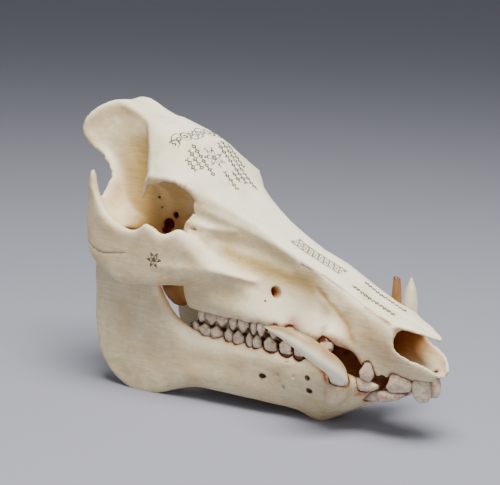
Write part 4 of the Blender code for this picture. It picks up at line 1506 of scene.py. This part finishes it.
@dataclass(frozen=True)
class Mandible(GrownBone):
    """The lower jaw, both branches grown together at the chin.

    A branch is given by (x, bottom, top, outer y at the bottom, outer y at the top, thickness), the chin
    on upright sections, the condyle and the sheath of the tusk's root as tubes. Pits are small holes that
    don't go through.
    """

    node: str = "mandible"
    branch: Path = (
        (31.5, 52, 90, 50, 51, 4), (33.5, 38, 102, 50.5, 51.5, 6), (37, 27, 111, 50.5, 52, 7),
        (42, 18, 114.5, 50.5, 52.5, 8), (50, 9.5, 115, 50, 52.5, 8), (58, 4.5, 110.5, 49.5, 52, 8),
        (66, 1.2, 113, 49, 51.5, 7.5), (73, -0.8, 122, 48.5, 51, 7), (80, -1.6, 119, 48, 50.5, 7),
        (88, -1.2, 93, 47, 49.5, 8), (96, 0.8, 74, 46, 47.5, 9.5), (104, 3.6, 62.5, 45, 45.5, 12),
        (112, 6, 56, 44, 43, 15), (120, 7.8, 53.5, 43, 40.5, 18), (131, 8.6, 52.5, 41, 38, 19),
        (148, 8.5, 53.5, 38, 37, 18.5), (164, 7.5, 53, 35, 36, 18), (180, 7.2, 52.5, 31.5, 34.5, 17),
        (194, 6, 51, 27, 32.5, 16), (206, 4, 50, 22, 30, 15),
    )
    chin: Sections = (
        (198, ((0, 22), (8, 25), (15, 40), (25, 50), (31, 36), (25, 15), (12, 5), (0, 10))),
        (209, ((0, 28), (8, 30), (16, 42), (25, 49), (30, 34), (23, 12), (11, 1), (0, 3))),
        (220, ((0, 32), (8, 33), (16, 42), (25, 48), (29, 34), (22, 11), (11, -1.6), (0, -1.8))),
        (230, ((0, 34), (8, 35), (16, 42), (26, 47), (30, 35), (22, 14), (10, 2.6), (0, 2.4))),
        (242, ((0, 36), (8, 36), (16, 41), (28, 46), (33, 37), (23, 20), (11, 10), (0, 9.5))),
        (252, ((0, 37), (8, 37), (15, 41), (27, 44), (32, 37), (22, 23), (11, 16), (0, 15))),
        (260, ((0, 37), (7, 37), (13, 39), (20, 41), (23, 36), (18, 26), (10, 20), (0, 19))),
        (268, ((0, 35), (6, 36), (11, 37), (16, 37), (18, 33), (15, 27), (9, 23), (0, 23))),
        (274, ((0, 33), (5, 33), (9, 34), (12, 33), (13, 31), (12, 28), (7, 26), (0, 26))),
    )
    condyle: Path = (
        (47.5, 40.5, 110.5, 3.4), (46.5, 44, 111.6, 4.6), (46, 49, 112, 5), (46.5, 53, 111, 3.8),
    )
    sheath: Path = (
        (240, 24, 22, 6.5), (245.5, 26, 29, 8.6), (249.4, 28.2, 36, 9.0), (250.8, 30.2, 41.5, 8.4),
    )
    table: Row = (0.6, 0.3, 0.1)
    holes: Outlines = (
        ((182.5, 34, 29.8, 1.7), (187, 29.5, 30.4, 1.6), (192, 26, 31, 1)),
        ((221, 30.5, 35.1, 1.6), (224, 26.5, 35.6, 1.4), (228, 23, 36, 0.9)),
        ((222, 29, 25.6, 1.7), (225, 25, 26.2, 1.5), (228, 21.5, 27, 0.9)),
        ((58, 40, 72, 3), (64, 44.5, 66, 2.6), (70, 46, 60, 1.4)),
    )
    crack: Path = (
        (203, 30, 43.5), (206.5, 30, 44.6), (209.8, 29.6, 46.6), (214, 29, 46.4),
    )
    swells: tuple[Stroke, ...] = (
        Stroke(((37, 51, 27), (44, 50.5, 16), (54, 50, 7), (66, 49.5, 2)), 3.5, 0.9),
        Stroke(((84, 50, 104), (92, 48.5, 84), (101, 46.5, 70), (112, 43.5, 60), (126, 40, 54)), 3.0, 0.7),
        Stroke(((60, 50.5, 44), (74, 50, 36), (88, 48, 34)), 14.0, -1.4),
        Stroke(((62, 51.5, 84), (72, 51.2, 76)), 10.0, -0.9),
        Stroke(((120, 44, 28), (150, 38, 28), (185, 32, 26)), 8.0, 0.6),
        Stroke(((52, 42, 60), (64, 42, 40)), 12.0, -1.2),
        Stroke(((226, 24, 40), (240, 29, 40), (250, 29, 37)), 5.0, 0.7),
        Stroke(((48, 51, 20), (56, 50.5, 22)), 2.0, 0.5),
        Stroke(((58, 50.5, 12), (66, 50, 16)), 2.0, 0.4),
    )
    lines: tuple[Stroke, ...] = (
        Stroke(((204, 29, 52), (215, 29, 49), (226, 29, 46.5), (235, 28.5, 43.5), (243, 30, 40)), 1.5, -0.9),
        Stroke(crack, 0.5, -0.7, Side.RIGHT),
        Stroke(((218, 0, -1), (240, 0, 9), (262, 0, 20)), 0.9, -0.7),
        Stroke(((195.6, 30.5, 32.6),), 1.1, -1.7),
        Stroke(((209.5, 29.6, 33.8),), 1.1, -1.7),
        Stroke(((199.9, 28.5, 24),), 1.1, -1.7),
        Stroke(((183.2, 32.4, 29.7),), 1.1, -1.7),
        Stroke(((221.4, 28.9, 35.2),), 1.1, -1.7),
        Stroke(((222.3, 27.1, 25.6),), 1.1, -1.7),
        Stroke(((254, 19.2, 22.4),), 0.9, -1.0),
    )
    stains: tuple[Stain, ...] = (
        Stain(Mask.RUST, ((210, 29, 52), (218, 29, 49.5), (228, 29, 47), (236, 30, 44)), 3.0, 0.95),
        Stain(Mask.RUST, ((237, 31, 44), (240, 33, 39.5), (248, 35, 36.5), (256, 34, 38), (259.5, 30, 42)),
            2.2, 1.0),
        # Painted shade inside the pits and the small holes
        Stain(Mask.SEAM, ((195.6, 30.5, 32.6), (195.9, 30.4, 32.7)), 0.9, 0.8, power=4.0),
        Stain(Mask.SEAM, ((209.5, 29.6, 33.8), (209.8, 29.6, 33.9)), 0.9, 0.8, power=4.0),
        Stain(Mask.SEAM, ((199.9, 28.5, 24), (200.3, 28.5, 24.2)), 1.1, 1.2, power=4.0),
        Stain(Mask.SEAM, ((183, 32.6, 29.7), (187, 29.5, 30.4), (192, 26, 31)), 2.1, 1.4, power=6.0),
        Stain(Mask.SEAM, ((221.3, 29, 35.2), (224, 26.5, 35.6), (228, 23, 36)), 1.9, 1.4, power=6.0),
        Stain(Mask.SEAM, ((222.2, 27.3, 25.6), (225, 25, 26.2), (228, 21.5, 27)), 2.1, 1.4, power=6.0),
        Stain(Mask.RUST, ((258, 20, 30), (266, 19, 30), (275, 15.5, 29)), 2.2, 0.8),
        Stain(Mask.SEAM, crack, 0.6, 0.8, Side.RIGHT),
        Stain(Mask.TAN_AND_SHADE, ((150, 36, 50), (190, 34, 48)), 4.5, 0.4),
        Stain(Mask.BLUSH, ((262, 20, 33), (270, 17, 31)), 3.0, 0.5),
    )

    def forms(self) -> list[Form]:
        """The chin, and on each side the branch, the condyle and the sheath of the tusk's root.

        Returns:
            The forms.
        """
        plates = []
        for x, bottom, top, outer, outer_top, thick in self.branch:
            plates.append(blade(x, outer, thick, bottom, top, outer_top))
        forms = [skin([across(x, half) for x, half in self.chin])] + both(plates, 3, 3)
        return forms + both(tube(self.condyle), 4, 2) + both(tube(self.sheath), 4, 2)

    def cutters(self) -> list[Form]:
        """The table, which levels the places that the jaw rests on.

        Returns:
            A block whose top is at zero.
        """
        table = bmesh.new()
        bmesh.ops.create_cube(table, size=1.0)
        bmesh.ops.scale(table, vec=self.table, verts=table.verts)
        bmesh.ops.translate(table, vec=(0.0, 0.0, -0.5 * self.table[2]), verts=table.verts)
        return [table]


@dataclass(frozen=True)
class Tooth:
    """Any tooth: its node without the side, its material slot and its finish."""

    node: str
    _: KW_ONLY
    slot: Slot = Slot.TOOTH
    finish: Finish = Enamel()

    @property
    def jaw(self) -> Jaw:
        """The jaw that it stands in."""
        return Jaw[self.node.split("_")[0].upper()]

    def dressed(self, form: Form, side: Side, suffix: str, paints: dict[str, np.ndarray]) -> Piece:
        """The tooth as it is shown.

        Args:
            form: Its form, which is used up.
            side: Its side.
            suffix: What its part in the scene is called.
            paints: Values for each vertex, by the name that its finish reads.

        Returns:
            The finished piece.
        """
        name = f"{self.node}_{side.name.lower()}"
        mesh = as_mesh(f"{name}_{suffix}", form)
        for key, values in paints.items():
            paint(mesh, key, values)
        return shown(mesh, name, self.slot, self.finish)

    def socket(self, room: Rings, side: Side) -> Form:
        """The room that the bone needs, made a little longer behind the root."""
        behind = np.array(room[0]) + (np.mean(room[0], axis=0) - np.mean(room[1], axis=0))
        return skin([behind] + room, 1, 1, side)


@dataclass(frozen=True)
class CheekTooth(Tooth):
    """A premolar or molar: its back and front x, its middle y, its width and its lobes.

    The gap is what stays open between the jaws, the roots are the heights where the roots end, and room
    is what the bone leaves free all round.
    """

    back: float
    front: float
    middle: float
    width: float
    lobes: int
    gap: float = 0.7
    upper_root: float = 71.0
    lower_root: float = 46.0
    corners: int = 60
    room: float = 0.5

    @property
    def bite(self) -> float:
        """Height of its biting edge."""
        return BITE_HEIGHT - self.jaw.value * 0.5 * self.gap

    @property
    def root(self) -> float:
        """Height of its root's end."""
        return self.upper_root if self.jaw is Jaw.UPPER else self.lower_root

    def outline(self, z: float, share: float, grow: float = 0.0) -> list[Row]:
        """Its outline at a height.

        Args:
            z: The height.
            share: Size as a share of the full crown.
            grow: Room added all round.

        Returns:
            The points round it.
        """
        centre, half, lobes = 0.5 * (self.back + self.front), 0.5 * (self.front - self.back), self.lobes
        ring = []
        for turn in (2 * math.pi * i / self.corners for i in range(self.corners)):
            out, along = math.sin(turn), math.cos(turn)
            along = math.copysign(abs(along) ** 0.62, along)
            out = math.copysign(abs(out) ** 0.72, out)
            waisted = lobes > 1 and abs(along) <= 1 - 0.5 / lobes
            waist = 0.5 + 0.5 * math.cos(math.pi * lobes * (along + 1)) if waisted else 0.0
            fold = 1 - 0.02 * math.cos(4 * math.pi * lobes * (along + 1))
            reach = 0.5 * self.width * (1 - 0.24 * waist**1.5) * fold * (1 - 0.14 * abs(along) ** 3) * share
            x = centre + half * along * min(1.0, share + 0.02) + grow * math.cos(turn)
            ring.append((x, self.middle + reach * out + grow * math.sin(turn), z))
        return ring

    def relief(self, x: float, y: float) -> float:
        """The biting face: cusps in two rows, with a groove between.

        Args:
            x: Place along the skull.
            y: Place across it.

        Returns:
            How far it stands out there.
        """
        spacing = (self.front - self.back) / self.lobes
        height = -3.4
        for lobe in range(self.lobes):
            centre = self.back + spacing * (lobe + 0.5)
            for hand in (-1, 1):
                aside = y - self.middle - hand * 0.3 * self.width
                reach = math.hypot((x - centre) / (0.25 * spacing), aside / (0.2 * self.width))
                tall = 4.4 if (hand > 0) == (self.jaw is Jaw.UPPER) else 3.7
                height += tall * math.exp(-(reach**2))
        return height

    def crown(self) -> Rings:
        """Its outlines, from its root to the middle of its biting face.

        Returns:
            The outlines.
        """
        up, bite = self.jaw.value, self.bite
        flank = ((10.6, 0.84), (9.6, 0.87), (7.8, 0.95), (5.6, 1.0), (3.4, 0.99))
        rings = [self.outline(self.root, 0.78)]
        rings += [self.outline(bite - up * below, share) for below, share in flank]
        for share in (0.96, 0.88, 0.76, 0.62, 0.48, 0.34, 0.2, 0.07):
            drop = 1.9 * max(0.0, (share - 0.7) / 0.3) ** 2
            ring = self.outline(bite, share)
            rings.append([(x, y, z + up * (self.relief(x, y) - drop)) for x, y, z in ring])
        return rings

    def stain(self, points: np.ndarray) -> np.ndarray:
        """How brown it is at the gum, in its grooves and where it meets its neighbours.

        Args:
            points: Its vertices in millimetres.

        Returns:
            A value from zero to one for each.
        """
        half = 0.5 * (self.front - self.back)
        along = (points[:, 0] - 0.5 * (self.back + self.front)) / half
        aside = np.abs(np.abs(points[:, 1]) - self.middle) / (0.5 * self.width)
        below = self.jaw.value * (self.bite - points[:, 2])
        groove = np.clip((0.62 - aside) / 0.3, 0, 1) * np.clip((below - 1.2) / 1.6, 0, 1) * (below < 5)
        stains = [
            np.clip((below - 9.4) / 1.2, 0, 1),
            0.9 * np.exp(-(((1 - np.abs(along)) * half / 0.75) ** 2)),
            0.6 * np.exp(-((below / 1.1) ** 2)),
            0.8 * groove,
        ]
        if self.lobes > 1:
            waist = 0.5 + 0.5 * np.cos(math.pi * self.lobes * (along + 1))
            stains.append(0.8 * waist**8 * (np.abs(along) < 0.8))
        if self.node == "lower_molar_3":
            stains.append(0.75 * np.clip((118.5 - points[:, 0]) / 2.5, 0, 1))
        return np.maximum.reduce(stains)

    def build(self, side: Side) -> tuple[Piece, Form]:
        """Makes the tooth.

        Args:
            side: Its side.

        Returns:
            The tooth, and the room that the bone needs for it.
        """
        up, bite = self.jaw.value, self.bite
        levels = ((self.root - up * 0.6, 0.8), (bite - up * 10.6, 0.86), (bite - up * 8, 0.95), (bite, 1.0))
        room = skin([self.outline(z, share, self.room) for z, share in levels], 2, 1, side)
        form = skin(self.crown(), 2, 1, side)
        stain = self.stain(millimetres(form))
        return self.dressed(form, side, "crown", {Mask.SEAM.value: stain}), room


@dataclass(frozen=True)
class FrontTooth(Tooth):
    """An incisor: a path of (x, y, z, half breadth, half thickness) to its tip, and where its breadth lies.

    Room is what the bone leaves free all round.
    """

    path: Path
    broad: Row
    corners: int = 28
    room: float = 0.45

    def outlines(self, grow: float = 0.0) -> Rings:
        """Flattened outlines square to the path.

        Args:
            grow: Room added all round.

        Returns:
            The outlines.
        """
        table = smooth_rows(self.path, 5)
        rings = []
        for (x, y, z, half, thick), direction in zip(table.tolist(), np.gradient(table[:, :3], axis=0)):
            ahead = Vector(direction).normalized()
            thin = ahead.cross(Vector(self.broad)).normalized()
            wide = thin.cross(ahead)
            ring = []
            for turn in (2 * math.pi * i / self.corners for i in range(self.corners)):
                out, through = math.cos(turn), math.sin(turn)
                out = math.copysign(abs(out) ** 0.8, out) * (half + grow)
                through = math.copysign(abs(through) ** 0.9, through) * (thick + grow)
                ring.append(tuple(Vector((x, y, z)) + wide * out + thin * through))
            rings.append(ring)
        return rings

    def build(self, side: Side) -> tuple[Piece, Form]:
        """Makes the tooth.

        Args:
            side: Its side.

        Returns:
            The tooth, and the room that the bone needs for it.
        """
        form = skin(self.outlines(), 1, 1, side)
        table = smooth_rows(self.path, 8)[:, :3] * (1, side.value, 1)
        away = np.linalg.norm(millimetres(form)[:, None] - table, axis=2)
        share = away.argmin(axis=1) / (len(table) - 1)
        stain = np.maximum(np.clip(1 - 4 * share, 0, 1), 0.55 * np.clip((share - 0.9) / 0.1, 0, 1))
        room = self.socket(self.outlines(self.room), side)
        return self.dressed(form, side, "crown", {Mask.SEAM.value: stain}), room


@dataclass(frozen=True)
class Tusk(Tooth):
    """A tusk or canine along a path of (x, y, z, radius), with lengthwise ridges and perhaps a chipped tip.

    Room is what the bone leaves free all round.
    """

    side: Side
    path: Path
    ridges: int = 0
    sharp: float = 0.0
    chip: Row | None = None
    corners: int = 36
    room: float = 0.6

    def outlines(self, grow: float = 0.0) -> Rings:
        """Outlines square to the path.

        Args:
            grow: Room added all round.

        Returns:
            The outlines.
        """
        table = smooth_rows(self.path, 6)
        table[:, 3] = np.maximum(table[:, 3], 0.25) + grow
        return tube(table, self.corners, self.ridges, self.sharp)

    def middle(self, steps: int) -> np.ndarray:
        """Points along its middle, on its own side."""
        return smooth_rows(self.path, steps)[:, :3] * (1, self.side.value, 1)

    def build(self) -> tuple[Piece, Form]:
        """Makes the tusk.

        Returns:
            The tusk, and the room that the bone needs for it.
        """
        form = skin(self.outlines(), 1, 1, self.side)
        if self.chip is not None:
            self.break_tip(form)
        points = millimetres(form)
        paints = {"wrap": self.wrap(points), Mask.SEAM.value: self.pits(points)}
        room = self.socket(self.outlines(self.room), self.side)
        return self.dressed(form, self.side, "ivory", paints), room

    def break_tip(self, form: Form) -> None:
        """Breaks the tip off unevenly at a plane through the chip point, nearly square to the tusk.

        Args:
            form: The tusk's form.
        """
        x, y, z = self.chip
        y *= self.side.value
        table = self.middle(6)
        index = int(np.linalg.norm(table - (x, y, z), axis=1).argmin())
        ahead = Vector(table[min(index + 1, len(table) - 1)] - table[index - 1]).normalized()
        lean = (ahead + Vector((0.35, 0.2, 0.0))).normalized()
        geometry = form.verts[:] + form.edges[:] + form.faces[:]
        bmesh.ops.bisect_plane(form, geom=geometry, plane_co=place(x, y, z), plane_no=lean, clear_outer=True)
        rim = [edge for edge in form.edges if edge.is_boundary]
        capped = bmesh.ops.holes_fill(form, edges=rim, sides=0)["faces"]
        inner = bmesh.ops.inset_region(form, faces=capped, thickness=0.6 * MM)["faces"]
        bmesh.ops.triangulate(form, faces=inner + capped)
        for vert in {vert for face in form.faces for vert in face.verts if face.normal.dot(lean) > 0.9}:
            vert.co += lean * (0.9 * MM * noise.noise(vert.co / (1.6 * MM)))

    def wrap(self, points: np.ndarray) -> np.ndarray:
        """Where each vertex lies on the tusk.

        Args:
            points: The vertices in millimetres.

        Returns:
            Its way along from root to tip, then the across and upward shares of its direction outwards.
        """
        table = self.middle(12)
        nearest = np.linalg.norm(points[:, None] - table, axis=2).argmin(axis=1)
        way = np.concatenate([[0.0], np.cumsum(np.linalg.norm(np.diff(table, axis=0), axis=1))])
        outward = points - table[nearest]
        outward /= np.maximum(np.linalg.norm(outward, axis=1), 1e-6)[:, None]
        level = np.cross(np.gradient(table, axis=0)[nearest], (0.0, 0.0, 1.0))
        level /= np.maximum(np.linalg.norm(level, axis=1), 1e-6)[:, None]
        return np.column_stack([way[nearest] / way[-1], (outward * level).sum(axis=1), outward[:, 2]])

    def pits(self, points: np.ndarray) -> np.ndarray:
        """Dark pits in the broken face of a stump, and the stain at its root.

        Args:
            points: The vertices in millimetres.

        Returns:
            A value from zero to one for each.
        """
        hand = self.side.value
        x, y, z = self.path[-1][:3]
        stain = np.clip((np.linalg.norm(points - (x, hand * y, z), axis=1) - 8.0) / 2.0, 0, 1)
        for offset in (-1.2, 1.6):
            away = np.linalg.norm(points - (x + offset, hand * (y + 1.0), z), axis=1)
            stain = np.maximum(stain, np.exp(-((away / 0.9) ** 2)))
        return stain


@dataclass(frozen=True)
class TeethOfSkull:
    """All teeth: premolars and molars, incisors, and the tusks and canines."""

    cheek: tuple[CheekTooth, ...] = (
        CheekTooth("upper_molar_3", 119.5, 150.0, 28.2, 16.5, 3),
        CheekTooth("upper_molar_2", 150.7, 170.0, 28.6, 16.0, 2),
        CheekTooth("upper_molar_1", 170.7, 185.2, 28.6, 14.5, 2),
        CheekTooth("upper_premolar_4", 185.9, 197.4, 27.4, 12.0, 1),
        CheekTooth("upper_premolar_3", 198.1, 209.4, 26.0, 9.0, 1),
        CheekTooth("upper_premolar_2", 210.1, 220.4, 25.0, 6.6, 1),
        CheekTooth("upper_premolar_1", 221.1, 228.0, 25.6, 5.0, 1),
        CheekTooth("lower_molar_3", 110.5, 144.0, 27.2, 13.5, 3),
        CheekTooth("lower_molar_2", 144.7, 164.0, 27.2, 13.0, 2),
        CheekTooth("lower_molar_1", 164.7, 180.0, 27.0, 11.4, 2),
        CheekTooth("lower_premolar_4", 180.7, 193.0, 26.2, 9.6, 1),
        CheekTooth("lower_premolar_3", 193.7, 205.2, 25.2, 7.6, 1),
        CheekTooth("lower_premolar_2", 205.9, 215.4, 24.2, 5.6, 1),
    )
    ringed: Enamel = Enamel("ringed_enamel", pale="e2d4c0", rose="b48f84", growth=(0.9, 6.0, 6.0))
    front: tuple[FrontTooth, ...] = (
        FrontTooth(
            "upper_incisor_1",
            ((303.4, 7.8, 49.8, 4.8, 3.1), (304, 8, 47, 5.6, 3.5), (305, 8, 40, 6.8, 4),
             (306, 7.4, 34.5, 5.8, 3.2), (306.6, 6.6, 31, 3.6, 2)),
            (1, -0.5, 0),
        ),
        FrontTooth(
            "upper_incisor_2",
            ((286, 13, 52, 3, 2.4), (288, 13.5, 46, 6, 3.4), (290, 14, 41.5, 10, 3.6),
             (291, 13.4, 36.5, 8, 2.2)),
            (1, -0.15, 0),
        ),
        FrontTooth(
            "upper_incisor_3",
            ((267, 18, 56, 2.4, 2), (267, 19, 50.5, 4, 3), (266.5, 19.5, 46, 5.6, 3.6),
             (265.5, 19.5, 41.4, 4, 2.2)),
            (1, -0.15, 0),
        ),
        FrontTooth(
            "lower_incisor_1",
            ((256, 4.6, 27, 2.5, 2.8), (266, 4.6, 29.4, 3, 3.4), (278, 5, 31, 3.6, 3.6),
             (290, 5, 34, 4, 2.8), (299, 4.6, 37.2, 3.4, 1)),
            (0, 1, 0), finish=ringed,
        ),
        FrontTooth(
            "lower_incisor_2",
            ((252, 11.5, 26, 2.6, 3), (263, 12, 28, 3.4, 3.8), (276, 13.4, 30, 4, 4),
             (287, 12.8, 32.4, 4, 3), (295, 11, 35, 3, 1)),
            (0, 1, 0), finish=ringed,
        ),
        FrontTooth(
            "lower_incisor_3",
            ((247, 17, 36.5, 2.2, 2.4), (256, 18, 37, 2.8, 3.6), (263, 18.6, 37, 3, 4.6),
             (270, 18.2, 37, 2.6, 3.4), (275.5, 17, 37.6, 1.6, 1.2)),
            (0, 1, 0),
        ),
    )
    cream: Ivory = Ivory("cream_ivory")
    brown: Ivory = Ivory("stained_ivory", pale="a67c4e", shade="7c5730", root="4a2a14", cracks=0.9)
    tusks: tuple[Tusk, ...] = (
        Tusk(
            "lower_tusk", Side.RIGHT,
            ((243, 26.5, 29, 5), (250, 29, 37, 6.2), (251.4, 33, 45, 6.5), (249, 38.5, 52, 6.8),
             (244, 43.5, 57.5, 6.9), (237.5, 47.5, 63, 6.8), (230.5, 50.5, 67.6, 6.2),
             (222.5, 52.5, 70.8, 5), (213, 54, 73, 3.2), (201.5, 55, 74.4, 0.6)),
            3, 0.07, slot=Slot.TUSK, finish=cream,
        ),
        Tusk(
            "lower_tusk", Side.LEFT,
            ((243, 26.5, 29, 5), (250, 29.5, 38, 6.2), (253, 36, 48, 6.5), (254, 43, 57, 6.6),
             (253, 49.5, 66, 6.4), (251.5, 54, 74.5, 6), (250.3, 57, 83, 5.2), (249, 59, 91, 3.8),
             (248.3, 60, 99.5, 0.7)),
            3, 0.07, slot=Slot.TUSK, finish=cream,
        ),
        Tusk(
            "upper_canine", Side.LEFT,
            ((235.5, 26, 72, 5), (236.5, 31, 66.5, 5.2), (238, 38.5, 64, 4.8), (239.8, 45.5, 67, 4.3),
             (240.4, 50, 74, 4), (240.6, 52.5, 83, 3.7), (240, 53.5, 92, 3.4), (239.2, 54, 101, 2.6)),
            2, 0.1, (239.3, 54, 99.3), slot=Slot.STAINED_TUSK, finish=brown,
        ),
        Tusk(
            "upper_canine_stump", Side.RIGHT,
            ((235.5, 25, 72, 5), (237, 28, 68, 5.2), (239, 31, 64, 5), (241, 33.6, 57.8, 4.3)),
            chip=(240.4, 33, 59.2),
        ),
    )

    def build(self) -> tuple[list[Piece], dict[Jaw, list[Form]]]:
        """Makes all teeth.

        Returns:
            The teeth, and for each jaw the room that its bone needs for them.
        """
        made = []
        for side in (Side.LEFT, Side.RIGHT):
            made += [(tooth.jaw, *tooth.build(side)) for tooth in self.cheek + self.front]
        made += [(tusk.jaw, *tusk.build()) for tusk in self.tusks]
        rooms = {jaw: [room for stands, _, room in made if stands is jaw] for jaw in Jaw}
        return [piece for _, piece, _ in made], rooms


@dataclass(frozen=True)
class Studio:
    """A pale paper floor under soft light from above, and the camera.

    The camera stands ahead of the skull on its right, and its angles, distance and framing are in
    degrees and millimetres. Lamps are (name, place, size, watts, tint), in metres.
    """

    turn: float = 38.5
    height: float = 11.6
    roll: float = -1.9
    distance: float = 1254.0
    scale: float = 1.339
    aim: Row = (155.0, 0.0, 95.0)
    shift: tuple[float, float] = (-10.0, 24.4)
    paper: PalePaper = PalePaper()
    lamps: tuple[tuple[str, Row, float, float, str], ...] = (
        ("overhead_softbox", (0.3, -0.25, 1.5), 0.9, 49.0, "fff7e6"),
        ("front_fill", (1.1, -1.3, 0.7), 1.4, 4.6, "fffaf2"),
    )
    surroundings: str = "f2f0ec"
    surrounding_light: float = 0.25

    def floor(self) -> None:
        """Lays a wide sheet of paper."""
        form = bmesh.new()
        bmesh.ops.create_grid(form, x_segments=4, y_segments=4, size=6.0)
        floor = put("paper_floor", as_mesh("paper_floor", form))
        floor.data.materials.append(self.paper.make())

    def light(self) -> None:
        """Hangs the square soft lamps so that they face the skull, and sets the pale surroundings."""
        for name, position, size, watts, tint in self.lamps:
            light = bpy.data.lights.new(name, "AREA")
            light.shape = "SQUARE"
            light.size = size
            light.energy = watts
            light.color = linear(tint)[:3]
            lamp = put(name, light)
            lamp.location = position
            towards = Vector((0, 0, 0.08)) - Vector(position)
            lamp.rotation_euler = towards.to_track_quat("-Z", "Y").to_euler()
        world = bpy.data.worlds.new("pale_surroundings")
        world.use_nodes = True
        ground = world.node_tree.nodes["Background"]
        ground.inputs["Color"].default_value = linear(self.surroundings)
        ground.inputs["Strength"].default_value = self.surrounding_light
        bpy.context.scene.world = world

    def camera(self) -> None:
        """Sets the camera up at the angle of the photograph, which is 500 pixels wide."""
        turn, height, roll = (math.radians(angle) for angle in (self.turn, self.height, self.roll))
        right = Vector((math.cos(turn), math.sin(turn), 0))
        level = math.cos(height)
        back = Vector((math.sin(turn) * level, -math.cos(turn) * level, math.sin(height)))
        upward = back.cross(right)
        level = right * math.cos(roll) - upward * math.sin(roll)
        upright = right * math.sin(roll) + upward * math.cos(roll)
        lens = bpy.data.cameras.new("photo_camera")
        lens.sensor_width = 36.0
        lens.lens = self.scale * self.distance * 36.0 / 500.0
        aim = place(*self.aim) + MM * (self.shift[0] * right + self.shift[1] * upward)
        stand = Matrix((level, upright, back)).transposed().to_4x4()
        stand.translation = aim + back * (self.distance * MM)
        camera = put("photo_camera", lens)
        camera.matrix_world = stand
        bpy.context.scene.camera = camera


@dataclass(frozen=True)
class BoarSkull:
    """The whole skull: its two bones and its teeth."""

    cranium: Cranium = Cranium()
    mandible: Mandible = Mandible()
    teeth: TeethOfSkull = TeethOfSkull()
    gum_stain: float = 1.3

    def build(self) -> list[Piece]:
        """Makes every piece of the skull.

        Returns:
            The finished pieces.
        """
        teeth, rooms = self.teeth.build()
        designs = (self.cranium, self.mandible)
        bones = [design.build(rooms[jaw]) for design, jaw in zip(designs, Jaw)]
        whole = bmesh.new()
        for tooth in teeth:
            whole.from_mesh(tooth.data)
        teeth_tree = BVHTree.FromBMesh(whole)
        for bone in bones:
            part = as_mesh("part", bone.form.copy())
            whole.from_mesh(part)
            bpy.data.meshes.remove(part)
        whole_tree = BVHTree.FromBMesh(whole)
        whole.free()
        for bone in bones:
            bone.enclose(whole_tree)
            bone.stain_sockets(teeth_tree, self.gum_stain)
            bone.painted_toplight()
        return [bone.dressed(design.node, design.finish) for bone, design in zip(bones, designs)] + teeth


def main() -> None:
    """Builds the skull and the studio."""
    logging.basicConfig(level=logging.INFO, format="%(name)s: %(message)s")
    studio = Studio()
    studio.camera()
    studio.light()
    studio.floor()
    for piece in BoarSkull().build():
        log.info("%s has %d faces", piece.name, len(piece.data.polygons))


if __name__ == "__main__":
    main()
